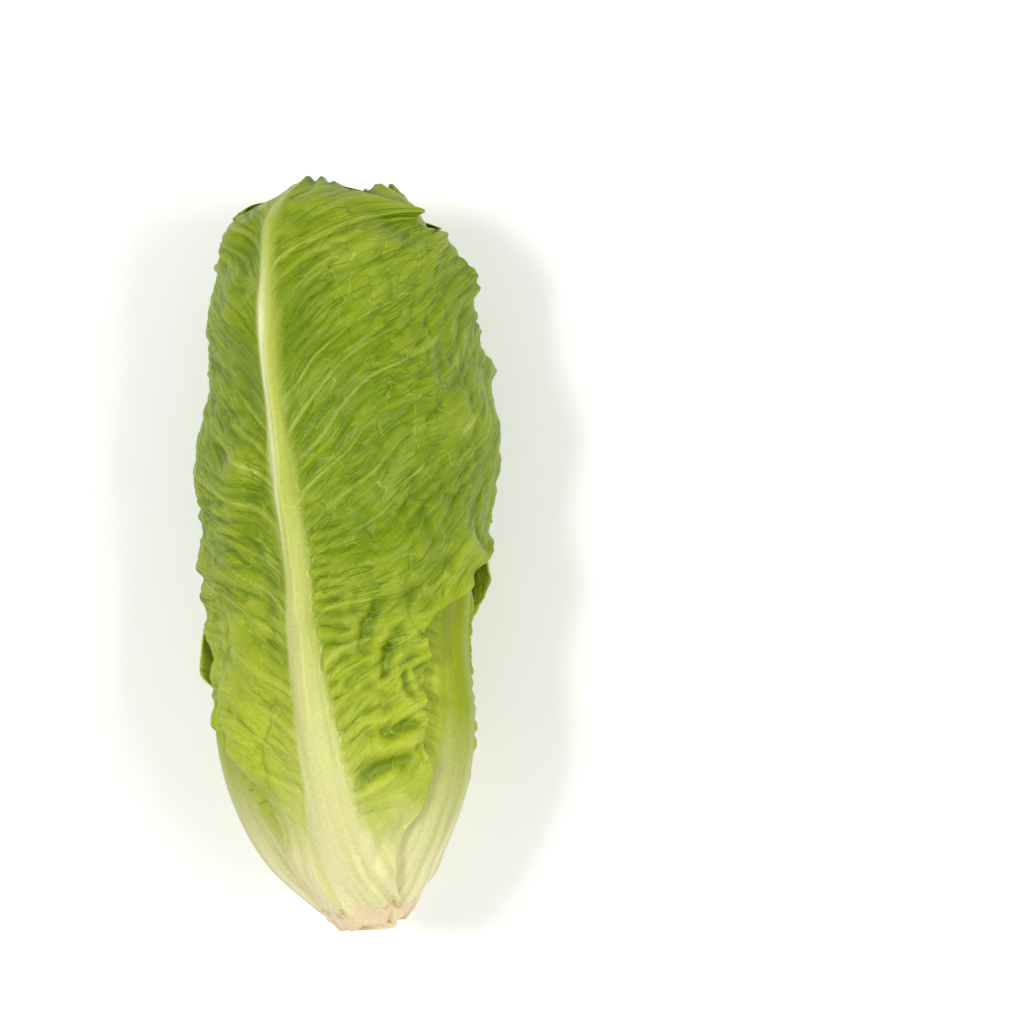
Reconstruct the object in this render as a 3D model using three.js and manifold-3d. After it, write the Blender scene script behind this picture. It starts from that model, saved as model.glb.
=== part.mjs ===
// A romaine lettuce head of the small, dense kind, lying on its side as it does once it is cut.
// Millimetres, +Z up. The cut butt is towards -Y and the crown towards +Y. The origin is on the resting
// surface, under the head's axis and midway along it, inside the small flat that the head lies on.
//
// Every leaf is a sheet laid around the head's axis. A point of it is found by its azimuth round the axis
// (0 straight up, +90 towards +X), its station along the axis (0 at the cut) and its radius. Leaves are
// laid from the heart outwards, and each one is pressed out until it clears all that lies inside it.
import * as THREE from "three";
import Module from "manifold-3d";

const wasm = await Module();
wasm.setup();

// Driving dimensions of the head.
const HEAD_LENGTH = 180;
const HEAD_RADIUS = 31.4; // of the body at mid-length, before the leaves press each other out
const AXIS_HEIGHT = 35.2; // of the head's axis above the surface that it lies on
const BUTT_RADIUS = 7.5; // of the innermost shell at the cut end
const SHOULDER_STATION = 52; // the body is full from here
const SHOULDER_ROUNDNESS = 2; // the power with which it fills out from the cut
const SHOULDER_BULGE = 5; // how much fuller it is there than at mid-length
const CROWN_STATION = 112; // and closes in from here
const CROWN_REACH = 70;
const AXIS_BEND = -3.3; // how far the axis runs to the side between its two bends
const LOWER_BEND = [0, 18]; // stations over which it leaves the middle, and comes back to it
const UPPER_BEND = [60, 100];

// The stem inside, a short cone that every leaf grows from.
const STEM_LENGTH = 42;
const STEM_FOOT_RADIUS = 6.4;
const STEM_TOP_RADIUS = 3;

// The large leaves, numbered from the outside in.
const LEAF_COUNT = 14;
const CUT_LEAVES = 3; // the outermost ones, whose feet were cut off flush with the butt
const FOOT_STEP = 2; // each further leaf grows this much higher on the stem
const HIGHEST_FOOT = 20;
const GOLDEN_ANGLE = 137.5;
const FRONT_AZIMUTH = -24; // of the uppermost leaf's rib at mid-length
const OUTER_HALF_WIDTH = 66;
const INNER_HALF_WIDTH = 22;
const BLADE_THICKNESS = 0.9;
const RIB_FOOT_HALF_WIDTH = 7.8;
const RIB_TIP_HALF_WIDTH = 1.1;
const RIB_HEIGHT = 3.6;
const LEAF_GAP = 0.7; // radial clearance between one leaf and the next
const STEM_GAP = 0.35;
const RESTING_FLOORS = [0, 0, 2, 4.4]; // how low each leaf may reach; those within, as low as the last
const RESTING_LEAF = 2; // the one underneath
const RESTING_SAG = 2; // what of it comes this near to the resting surface lies on it

// Half-widths of the uppermost leaf at stations along it, on either side of its rib. Its left margin runs
// down close to the rib below mid-length, and its right margin has a deep bay under a broad upper lobe.
const FRONT_LEFT = [
  [0, 7], [25, 9], [33, 12], [40, 18], [48, 24], [60, 27], [81, 29], [95, 35], [110, 42], [132, 44],
  [150, 39], [162, 30], [171, 20], [180, 8],
];
const FRONT_RIGHT = [
  [0, 7], [18, 10], [25, 17], [32, 27], [38, 32], [47, 35], [56, 37], [66, 37], [72, 33], [76, 38],
  [82, 47], [90, 57], [98, 69], [110, 74], [132, 70], [150, 57], [162, 42], [171, 27], [180, 11],
];

// The heart, a bud of small leaves fused to a slender core.
const HEART_LEAVES = 4;
const HEART_STATION = 42.4;
const HEART_CORE_RADIUS = 2.6;
const HEART_CORE_LENGTH = 62;
const HEART_SINK = 0.5; // how deep its leaves are sunk into the core and into each other

const DEG = Math.PI / 180;

const clamp = (x, low, high) => Math.min(high, Math.max(low, x));
const mix = (a, b, t) => a + (b - a) * t;

// A smooth step from 0 at low to 1 at high, which may lie either way round.
const smooth = (low, high, x) => {
  const t = clamp((x - low) / (high - low), 0, 1);
  return t * t * (3 - 2 * t);
};

// A repeatable draw between 0 and 1 for leaf k, one for each channel.
const draw = (k, channel) => {
  const x = Math.sin(k * 12.9898 + channel * 78.233) * 43758.5453;
  return x - Math.floor(x);
};

// The value at x on a line through [x, value] points.
const along = (points, x) => {
  const next = points.findIndex((point, i) => i === points.length - 1 || (i > 0 && point[0] >= x));
  const [[x0, y0], [x1, y1]] = [points[next - 1], points[next]];
  return mix(y0, y1, clamp((x - x0) / (x1 - x0), 0, 1));
};

// Radius of the whole body at a station: a blunt base, a full middle and a crown that closes in.
function bodyRadius(s) {
  const base = 1 - Math.pow(1 - clamp(s / SHOULDER_STATION, 0, 1), SHOULDER_ROUNDNESS);
  const crown = Math.pow(1 - Math.pow(clamp((s - CROWN_STATION) / CROWN_REACH, 0, 0.98), 2.4), 0.6);
  const full = HEAD_RADIUS + SHOULDER_BULGE * smooth(100, SHOULDER_STATION, s);
  return mix(BUTT_RADIUS, full, base) * crown;
}

// Where the head's axis lies across at a station.
const axisAt = (s) => AXIS_BEND * smooth(...LOWER_BEND, s) * (1 - smooth(...UPPER_BEND, s));

const stemRadius = (s) => mix(STEM_FOOT_RADIUS, STEM_TOP_RADIUS, Math.pow(s / STEM_LENGTH, 1.5));

// Radius of the heart's core at a share of its length: round at the foot, drawn out to a point.
const coreRadius = (share) => HEART_CORE_RADIUS * Math.sqrt(1 - share) * mix(0.8, 1, smooth(0, 0.3, share));

// How far out everything laid so far reaches, by azimuth and station.
class Ground {
  static AZIMUTHS = 240;
  static STATIONS = 200; // one each millimetre

  constructor(radiusAt) {
    this.cells = new Float64Array(Ground.AZIMUTHS * Ground.STATIONS);
    for (let j = 0; j < Ground.STATIONS; j++)
      this.cells.fill(radiusAt(j), j * Ground.AZIMUTHS, (j + 1) * Ground.AZIMUTHS);
  }

  cell(i, j) {
    const column = ((i % Ground.AZIMUTHS) + Ground.AZIMUTHS) % Ground.AZIMUTHS;
    return clamp(j, 0, Ground.STATIONS - 1) * Ground.AZIMUTHS + column;
  }

  // The four cells around a point are raised together, so that no point between them is missed.
  raise(azimuth, station, radius) {
    const i = Math.floor((azimuth / 360) * Ground.AZIMUTHS);
    const j = Math.floor(station);
    for (const cell of [this.cell(i, j), this.cell(i + 1, j), this.cell(i, j + 1), this.cell(i + 1, j + 1)])
      this.cells[cell] = Math.max(this.cells[cell], radius);
  }

  at(azimuth, station) {
    const x = (azimuth / 360) * Ground.AZIMUTHS;
    const y = clamp(station, 0, Ground.STATIONS - 1.001);
    const [i, j] = [Math.floor(x), Math.floor(y)];
    const value = (di, dj) => this.cells[this.cell(i + di, j + dj)];
    return mix(mix(value(0, 0), value(1, 0), x - i), mix(value(0, 1), value(1, 1), x - i), y - j);
  }
}

// Rows along a leaf and columns across half of its rib and of its blade: finest where they show most.
const LEAF_GRIDS = [
  { upTo: 1, rows: 36, ribColumns: [0, 0.6, 1], bladeColumns: [0.13, 0.28, 0.44, 0.6, 0.76, 0.9, 1] },
  { upTo: 3, rows: 30, ribColumns: [0, 0.6, 1], bladeColumns: [0.16, 0.34, 0.53, 0.72, 0.88, 1] },
  { upTo: 5, rows: 22, ribColumns: [0, 0.6, 1], bladeColumns: [0.25, 0.5, 0.78, 1] },
  { upTo: 9, rows: 14, ribColumns: [0, 1], bladeColumns: [0.25, 0.5, 0.78, 1] },
  { upTo: LEAF_COUNT, rows: 11, ribColumns: [0, 1], bladeColumns: [0.35, 0.7, 1] },
];

// What leaf k is like. Depth runs from 0 for the outermost leaf to 1 for the innermost.
function leafPlan(k) {
  const depth = (k - 1) / (LEAF_COUNT - 1);
  return {
    seed: k,
    azimuth: FRONT_AZIMUTH - GOLDEN_ANGLE * (k - 1),
    lean: k === 1 ? -16 : mix(-9, 9, draw(k, 1)), // degrees that the rib drifts over the head's length
    shell: mix(1, 0.3, Math.pow(depth, 1.1)), // share of the body's radius that the leaf lies at
    foot: clamp(FOOT_STEP * (k - CUT_LEAVES), 0, HIGHEST_FOOT),
    tip: HEAD_LENGTH - 3 * draw(k, 2) - 14 * Math.pow(depth, 1.3),
    halfWidth: mix(OUTER_HALF_WIDTH, INNER_HALF_WIDTH, Math.pow(depth, 0.8)),
    rightShare: mix(0.92, 1.08, draw(k, 3)), // how full the right half is beside the left
    margins: k === 1 ? { left: FRONT_LEFT, right: FRONT_RIGHT } : null,
    floor: RESTING_FLOORS[Math.min(k, RESTING_FLOORS.length) - 1],
    sag: k === RESTING_LEAF ? RESTING_SAG : 0,
    rib: mix(1, 0.35, depth),
    ruffle: mix(2.7, 0.6, depth),
    flare: mix(3.4, 0.6, depth),
    ...LEAF_GRIDS.find(({ upTo }) => k <= upTo),
  };
}

// A small leaf of the heart, number h from the outside in.
function heartPlan(h) {
  const k = LEAF_COUNT + 1 + h;
  return {
    seed: k,
    azimuth: FRONT_AZIMUTH - GOLDEN_ANGLE * (k - 1),
    lean: mix(-9, 9, draw(k, 1)),
    shell: mix(0.22, 0.12, h / (HEART_LEAVES - 1)),
    foot: HEART_STATION + 2 + 2 * h,
    tip: 150 - 4 * h,
    halfWidth: 17 - 2.5 * h,
    rightShare: 1,
    margins: null,
    floor: RESTING_FLOORS.at(-1),
    sag: 0,
    rib: 0.3,
    ruffle: 0.4,
    flare: 0.5,
    rows: 11,
    ribColumns: [0, 1],
    bladeColumns: [0.5, 1],
  };
}

// Half-width of the midrib and how far it stands out, at share u of the leaf's length.
const ribHalfWidth = (plan, u) => plan.rib * mix(RIB_FOOT_HALF_WIDTH, RIB_TIP_HALF_WIDTH, Math.pow(u, 0.8));
const ribHeight = (plan, u) =>
  plan.rib * RIB_HEIGHT * smooth(-0.08, 0.14, u) * mix(1, 0.16, Math.pow(u, 0.8));

// The blade is thin above, and fleshy where it clasps the head's base.
const bladeThickness = (u) => BLADE_THICKNESS + 1.1 * smooth(-0.06, 0.1, u) * smooth(0.36, 0.1, u);

// Half-width of the whole leaf at u: a clasping foot, spreading to a broad, round and shallowly lobed end.
function leafHalfWidth(plan, u, side) {
  if (plan.margins) return along(side > 0 ? plan.margins.right : plan.margins.left, u * HEAD_LENGTH);
  const foot = mix(0.5, 1, plan.shell) * (8 + 14 * (1 - Math.exp(-u / 0.09)));
  const full = plan.halfWidth * (side > 0 ? plan.rightShare : 2 - plan.rightShare);
  const end = Math.sqrt(1 - Math.pow(clamp((u - 0.6) / 0.405, 0, 1), 2.2));
  const lobes = 1 + 0.05 * Math.sin(u * 34 + plan.seed * 2.1 + side) * smooth(0.2, 0.5, u);
  return mix(foot, full, smooth(0.13, 0.61, u)) * end * lobes;
}

// The columns across a leaf, from its left margin to its right: [side, share of the rib, share of the blade].
function columnsOf({ ribColumns, bladeColumns }) {
  const half = [...ribColumns.slice(1).map((r) => [r, 0]), ...bladeColumns.map((b) => [1, b])];
  return [...half.map(([r, b]) => [-1, r, b]).reverse(), [1, 0, 0], ...half.map(([r, b]) => [1, r, b])];
}

// The leaf's vertices as it would lie alone, row by row from foot to tip. radius is that of the sheet's
// middle, and outward and inward are how far its two faces lie from there.
function layLeaf(plan) {
  const rows = [];
  for (let i = 0; i <= plan.rows; i++) {
    const u = Math.sin((i / plan.rows) * 1.25) / Math.sin(1.25); // rows crowd towards the round end
    const station = mix(plan.foot, plan.tip, u);
    const shell = plan.shell * bodyRadius(station);
    const ribAzimuth = plan.azimuth + plan.lean * (station / HEAD_LENGTH - 0.5);
    const height = ribHeight(plan, u);
    const thickness = bladeThickness(u);
    rows.push(
      columnsOf(plan).map(([side, r, b]) => {
        const full = leafHalfWidth(plan, u, side);
        const rib = Math.min(ribHalfWidth(plan, u), 0.6 * full);
        const across = r * rib + b * (full - rib);
        const out = across / full; // 0 at the rib, 1 at the margin
        const wave =
          Math.sin(u * 27 + plan.seed * 1.7 + side * 0.9) * out * out * smooth(0.15, 0.45, u) +
          0.7 * Math.sin(side * across * 0.33 + plan.seed * 2.3) * smooth(0.78, 1, u);
        const free = Math.max(smooth(0.75, 1, u), smooth(0.25, 0.55, u) * Math.pow(out, 3));
        const bulge = b > 0 ? 0 : Math.sqrt(1 - 0.97 * r * r);
        return {
          azimuth: ribAzimuth + (side * across) / Math.max(shell, 8) / DEG,
          station,
          radius: shell - height + plan.ruffle * wave + plan.flare * free,
          outward: thickness / 2 + height * bulge,
          inward: thickness / 2 + (b > 0 ? 0 : 0.25 * height * (1 - r * r)),
        };
      }),
    );
  }
  return rows;
}

// Where a point at an azimuth, station and radius lies in the part's own frame.
function place(azimuth, station, radius) {
  const a = azimuth * DEG;
  const x = axisAt(station) + radius * Math.sin(a);
  return [x, station - HEAD_LENGTH / 2, AXIS_HEIGHT + radius * Math.cos(a)];
}

// The radius at which a level plane, a height above the resting surface, lies at an azimuth.
function planeRadius(azimuth, height) {
  const down = -Math.cos(azimuth * DEG);
  return down > 0.2 ? (AXIS_HEIGHT - height) / down : Infinity;
}

const OUTER_FACE = 1;
const INNER_FACE = -1;
const faceRadius = (v, face) => v.radius + (face === OUTER_FACE ? v.outward : -v.inward);

// Calls visit for points spread over the two triangles of every cell of a face, with the cell's four corners
// and the weight of each corner there.
const CELL_SAMPLES = 12;
function overFace(rows, face, visit) {
  for (let i = 0; i + 1 < rows.length; i++)
    for (let j = 0; j + 1 < rows[i].length; j++) {
      const corners = [rows[i][j], rows[i][j + 1], rows[i + 1][j], rows[i + 1][j + 1]];
      const points = corners.map((v) => place(v.azimuth, v.station, faceRadius(v, face)));
      for (let a = 0; a <= CELL_SAMPLES; a++)
        for (let b = 0; b <= CELL_SAMPLES; b++) {
          const [x, y] = [a / CELL_SAMPLES, b / CELL_SAMPLES];
          const weights = x + y <= 1 ? [1 - x - y, x, y, 0] : [0, 1 - y, 1 - x, x + y - 1];
          const middle = (axis) => points.reduce((sum, p, c) => sum + weights[c] * p[axis], 0);
          const station = middle(1) + HEAD_LENGTH / 2;
          const [right, up] = [middle(0) - axisAt(station), middle(2) - AXIS_HEIGHT];
          visit(Math.atan2(right, up) / DEG, station, Math.hypot(right, up), corners, weights);
        }
    }
}

// Presses a leaf out until its inner face clears the ground by gap. The first passes ease the push into the
// cells around, and the last one lifts every corner of a cell that is still short. Then the leaf is flattened
// at its floor, and down to it where it sags.
const EASED_PASSES = 3;
const PRESS_PASSES = 7;
function pressOut(rows, ground, gap, { floor, sag }) {
  for (let pass = 1; pass <= PRESS_PASSES; pass++) {
    rows.flat().forEach((v) => (v.lift = 0));
    overFace(rows, INNER_FACE, (azimuth, station, radius, corners, weights) => {
      const short = ground.at(azimuth, station) + gap - radius;
      if (short <= 0) return;
      corners.forEach((v, c) => {
        const share = pass === PRESS_PASSES ? 1 : Math.min(1, 1.6 * weights[c]);
        v.lift = Math.max(v.lift, short * share);
      });
    });
    const easing = pass <= EASED_PASSES ? 0.5 : 0;
    const lifts = rows.map((row) => row.map((v) => v.lift));
    rows.forEach((row, i) =>
      row.forEach((v, j) => {
        const beside = [lifts[i - 1]?.[j], lifts[i + 1]?.[j], lifts[i][j - 1], lifts[i][j + 1]];
        const mean = beside.reduce((sum, lift) => sum + (lift ?? v.lift), 0) / beside.length;
        v.radius += Math.max(v.lift, easing * (v.lift + mean));
      }),
    );
  }
  for (const v of rows.flat()) {
    const limit = planeRadius(v.azimuth, floor) - v.outward;
    if (v.radius > limit - sag) v.radius = limit;
  }
}

// A closed sheet: its outer face, its inner face split alike, and the rim between them.
function sheetGeometry(rows) {
  const [n, m] = [rows.length, rows[0].length];
  const positions = [OUTER_FACE, INNER_FACE].flatMap((face) =>
    rows.flat().flatMap((v) => place(v.azimuth, v.station, faceRadius(v, face))),
  );
  const outer = (i, j) => i * m + j;
  const inner = (i, j) => (n + i) * m + j;
  const index = [];
  for (let i = 0; i + 1 < n; i++)
    for (let j = 0; j + 1 < m; j++) {
      index.push(outer(i, j), outer(i, j + 1), outer(i + 1, j));
      index.push(outer(i, j + 1), outer(i + 1, j + 1), outer(i + 1, j));
      index.push(inner(i, j), inner(i + 1, j), inner(i, j + 1));
      index.push(inner(i, j + 1), inner(i + 1, j), inner(i + 1, j + 1));
    }
  const rim = (a, b, c, d) => index.push(a, c, b, b, c, d);
  for (let i = 0; i + 1 < n; i++) {
    rim(outer(i, 0), inner(i, 0), outer(i + 1, 0), inner(i + 1, 0));
    rim(inner(i, m - 1), outer(i, m - 1), inner(i + 1, m - 1), outer(i + 1, m - 1));
  }
  for (let j = 0; j + 1 < m; j++) {
    rim(outer(0, j), outer(0, j + 1), inner(0, j), inner(0, j + 1));
    rim(outer(n - 1, j + 1), outer(n - 1, j), inner(n - 1, j + 1), inner(n - 1, j));
  }
  return new THREE.BufferGeometry()
    .setAttribute("position", new THREE.Float32BufferAttribute(positions, 3))
    .setIndex(index);
}

// A closed solid turned about the head's axis, from [radius, station] points that start and end on the axis.
function turnedGeometry(profile, sides) {
  const points = profile.map(([radius, station]) => new THREE.Vector2(radius, station - HEAD_LENGTH / 2));
  const geometry = new THREE.LatheGeometry(points, sides).translate(0, 0, AXIS_HEIGHT);
  const position = geometry.getAttribute("position");
  for (let v = 0; v < position.count; v++)
    position.setX(v, position.getX(v) + axisAt(position.getY(v) + HEAD_LENGTH / 2));
  return geometry;
}

// A geometry as a manifold-3d solid. Vertices at the same place are merged by rounding to a micron.
function solidOf(geometry) {
  const position = geometry.getAttribute("position");
  const seen = new Map();
  const vertices = [];
  const merged = Array.from({ length: position.count }, (_, v) => {
    const point = [position.getX(v), position.getY(v), position.getZ(v)];
    const key = point.map((x) => Math.round(x * 1000)).join();
    if (!seen.has(key)) {
      seen.set(key, seen.size);
      vertices.push(...point);
    }
    return seen.get(key);
  });
  const triangles = [];
  for (let t = 0; t < geometry.index.count; t += 3) {
    const corners = [0, 1, 2].map((c) => merged[geometry.index.getX(t + c)]);
    if (new Set(corners).size === 3) triangles.push(...corners);
  }
  const vertProperties = new Float32Array(vertices);
  const triVerts = new Uint32Array(triangles);
  return new wasm.Manifold(new wasm.Mesh({ numProp: 3, vertProperties, triVerts }));
}

// The solids joined into one body. What the joining sealed inside it or left loose is dropped.
function fused(solids) {
  const joined = solids.reduce((sum, solid) => sum.add(solid));
  const body = joined.decompose().reduce((most, part) => (part.volume() > most.volume() ? part : most));
  const mesh = body.getMesh();
  return new THREE.BufferGeometry()
    .setAttribute("position", new THREE.BufferAttribute(mesh.vertProperties, mesh.numProp))
    .setIndex(new THREE.BufferAttribute(mesh.triVerts, 1));
}

const group = new THREE.Group();

function addPiece(name, geometry, colour, roughness) {
  geometry.computeVertexNormals();
  const material = new THREE.MeshStandardMaterial({ color: colour, roughness, metalness: 0 });
  const mesh = new THREE.Mesh(geometry, material);
  mesh.name = name;
  group.add(mesh);
}

// The stem, with a flat foot where it was cut.
const STEM_SIDES = 20;
const STEM_RINGS = 7;
const stemProfile = Array.from({ length: STEM_RINGS + 1 }, (_, i) => (i / STEM_RINGS) * STEM_LENGTH);
addPiece(
  "stem",
  turnedGeometry([[0, 0], ...stemProfile.map((s) => [stemRadius(s), s]), [0, STEM_LENGTH]], STEM_SIDES),
  0xe6d9b4,
  0.6,
);

// What the leaves are laid on to begin with: the stem, and the heart's core beyond it.
const ground = new Ground((s) => {
  if (s <= HEART_STATION) return stemRadius(Math.min(s, STEM_LENGTH)) + STEM_GAP - LEAF_GAP;
  const share = (s - HEART_STATION) / HEART_CORE_LENGTH;
  return share < 1 ? coreRadius(share) : 0;
});

// The heart, from its core outwards.
const CORE_SIDES = 10;
const CORE_RINGS = 8;
const coreProfile = Array.from({ length: CORE_RINGS + 1 }, (_, i) => {
  const share = i / CORE_RINGS;
  return [coreRadius(share), HEART_STATION + share * HEART_CORE_LENGTH];
});
const heartSolids = [solidOf(turnedGeometry([[0, HEART_STATION], ...coreProfile], CORE_SIDES))];
for (let h = HEART_LEAVES - 1; h >= 0; h--) {
  const plan = heartPlan(h);
  const rows = layLeaf(plan);
  pressOut(rows, ground, -HEART_SINK, plan);
  overFace(rows, OUTER_FACE, (azimuth, station, radius) => ground.raise(azimuth, station, radius));
  heartSolids.push(solidOf(sheetGeometry(rows)));
}
addPiece("heart", fused(heartSolids), 0xdfe09a, 0.45);

// The large leaves, from the innermost out, greener the further out they lie.
const OUTER_GREEN = new THREE.Color(0x8aa536);
const INNER_YELLOW = new THREE.Color(0xd6dc8a);
for (let k = LEAF_COUNT; k >= 1; k--) {
  const plan = leafPlan(k);
  const rows = layLeaf(plan);
  pressOut(rows, ground, LEAF_GAP, plan);
  overFace(rows, OUTER_FACE, (azimuth, station, radius) => ground.raise(azimuth, station, radius));
  const colour = OUTER_GREEN.clone().lerp(INNER_YELLOW, (k - 1) / (LEAF_COUNT - 1));
  addPiece("leaf_" + String(k).padStart(2, "0"), sheetGeometry(rows), colour, 0.45);
}

export default group;
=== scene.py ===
"""A romaine lettuce head lying on its side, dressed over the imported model's frame.

Shapes are worked out in millimetres around the head's axis, by azimuth (degrees, 0 straight up, +90 towards
+X), station (distance from the cut along the axis) and radius, and put into meshes in metres.
"""

from __future__ import annotations

import logging
import math
from collections.abc import Callable, Sequence
from dataclasses import dataclass, field
from enum import Enum
from functools import partial
from typing import Union

import bpy
import numpy as np
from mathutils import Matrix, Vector


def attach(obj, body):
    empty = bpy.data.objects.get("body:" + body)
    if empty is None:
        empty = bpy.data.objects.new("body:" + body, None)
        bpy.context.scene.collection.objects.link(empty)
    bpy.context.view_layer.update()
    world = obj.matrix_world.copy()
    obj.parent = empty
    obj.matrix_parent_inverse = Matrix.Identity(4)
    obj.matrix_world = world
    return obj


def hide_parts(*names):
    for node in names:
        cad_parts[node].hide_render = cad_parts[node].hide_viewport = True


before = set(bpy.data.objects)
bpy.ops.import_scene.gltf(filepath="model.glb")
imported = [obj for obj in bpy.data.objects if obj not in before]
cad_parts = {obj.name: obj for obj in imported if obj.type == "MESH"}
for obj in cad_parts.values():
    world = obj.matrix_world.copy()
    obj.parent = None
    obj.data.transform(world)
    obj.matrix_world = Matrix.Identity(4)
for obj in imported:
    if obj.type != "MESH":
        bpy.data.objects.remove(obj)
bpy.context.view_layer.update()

LOG = logging.getLogger("lettuce")
MM = 0.001
Array = np.ndarray
Numbers = Union[float, Array]


# ---------------------------------------------------------------- small maths


def mix(a: Numbers, b: Numbers, t: Numbers) -> Numbers:
    """A value t of the way from a to b."""
    return a + (b - a) * t


def smooth(low: float, high: float, x: Array) -> Array:
    """A smooth step from 0 at low to 1 at high, 3t^2 - 2t^3; the two may lie either way round."""
    t = np.clip((x - low) / (high - low), 0.0, 1.0)
    return t * t * (3.0 - 2.0 * t)


def draw(k: int, channel: int) -> float:
    """A repeatable draw between 0 and 1 for leaf k, one for each channel."""
    x = math.sin(k * 12.9898 + channel * 78.233) * 43758.5453
    return x - math.floor(x)


def lattice(i: Array, j: Array, seed: int) -> Array:
    """A repeatable number between 0 and 1 at each whole-numbered point of a plane.

    Args:
        i: First whole coordinate.
        j: Second whole coordinate.
        seed: Chooses the pattern.

    Returns:
        The hashed values, of the inputs' shape.
    """
    h = (i.astype(np.int64) * 374761393 + j.astype(np.int64) * 668265263 + seed * 974634777) & 0xFFFFFFFF
    h = ((h ^ (h >> 13)) * 1274126177) & 0xFFFFFFFF
    return ((h ^ (h >> 16)) & 0xFFFF) / 65535.0


def noise(x: Array, y: Array, seed: int) -> Array:
    """Soft value noise: lattice values blended by the smooth step between the four points around.

    Args:
        x: First coordinate, one unit to a bump.
        y: Second coordinate.
        seed: Chooses the pattern.

    Returns:
        Values between -1 and 1.
    """
    x, y = np.broadcast_arrays(x, y)
    i, j = np.floor(x), np.floor(y)
    fx, fy = x - i, y - j
    fx, fy = fx * fx * (3 - 2 * fx), fy * fy * (3 - 2 * fy)
    low = mix(lattice(i, j, seed), lattice(i + 1, j, seed), fx)
    high = mix(lattice(i, j + 1, seed), lattice(i + 1, j + 1, seed), fx)
    return 2.0 * mix(low, high, fy) - 1.0


def crumple(x: Array, y: Array, seed: int) -> Array:
    """Three octaves of noise, each half as large and half as high as the last.

    Args:
        x: First coordinate, one unit to a bump of the largest.
        y: Second coordinate.
        seed: Chooses the pattern.

    Returns:
        Values between about -1.25 and 1.25.
    """
    return (
        noise(x, y, seed)
        + 0.5 * noise(2.03 * x + 5.1, 2.03 * y + 1.7, seed + 1)
        + 0.25 * noise(4.1 * x + 9.2, 4.1 * y + 3.3, seed + 2)
    ) / 1.4


def spline_rows(values: Array, at: Array) -> Array:
    """Values between the rows of a grid, by a cubic B-spline with its end rows held on.

    The four rows around a place weigh (1 - t)^3, 3t^3 - 6t^2 + 4, -3t^3 + 3t^2 + 3t + 1 and t^3, over 6.

    Args:
        values: The grid.
        at: Place of each wanted point, in rows: one for a whole row of the result, or one for each point.

    Returns:
        The values there, of the shape of at if that is a grid.
    """
    base = np.floor(at).astype(int)
    t = at - base
    pieces = ((1 - t) ** 3, 3 * t**3 - 6 * t**2 + 4, -3 * t**3 + 3 * t**2 + 3 * t + 1, t**3)
    column = np.arange(values.shape[1]) if at.ndim == 1 else np.arange(at.shape[1])[None, :]
    total = 0.0
    for step, piece in enumerate(pieces):
        row = np.clip(base - 1 + step, 0, len(values) - 1)
        picked = values[row] if at.ndim == 1 else values[row, column]
        total = total + picked * (piece[:, None] if at.ndim == 1 else piece) / 6.0
    return total


# ------------------------------------------------------------------- the form


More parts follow.
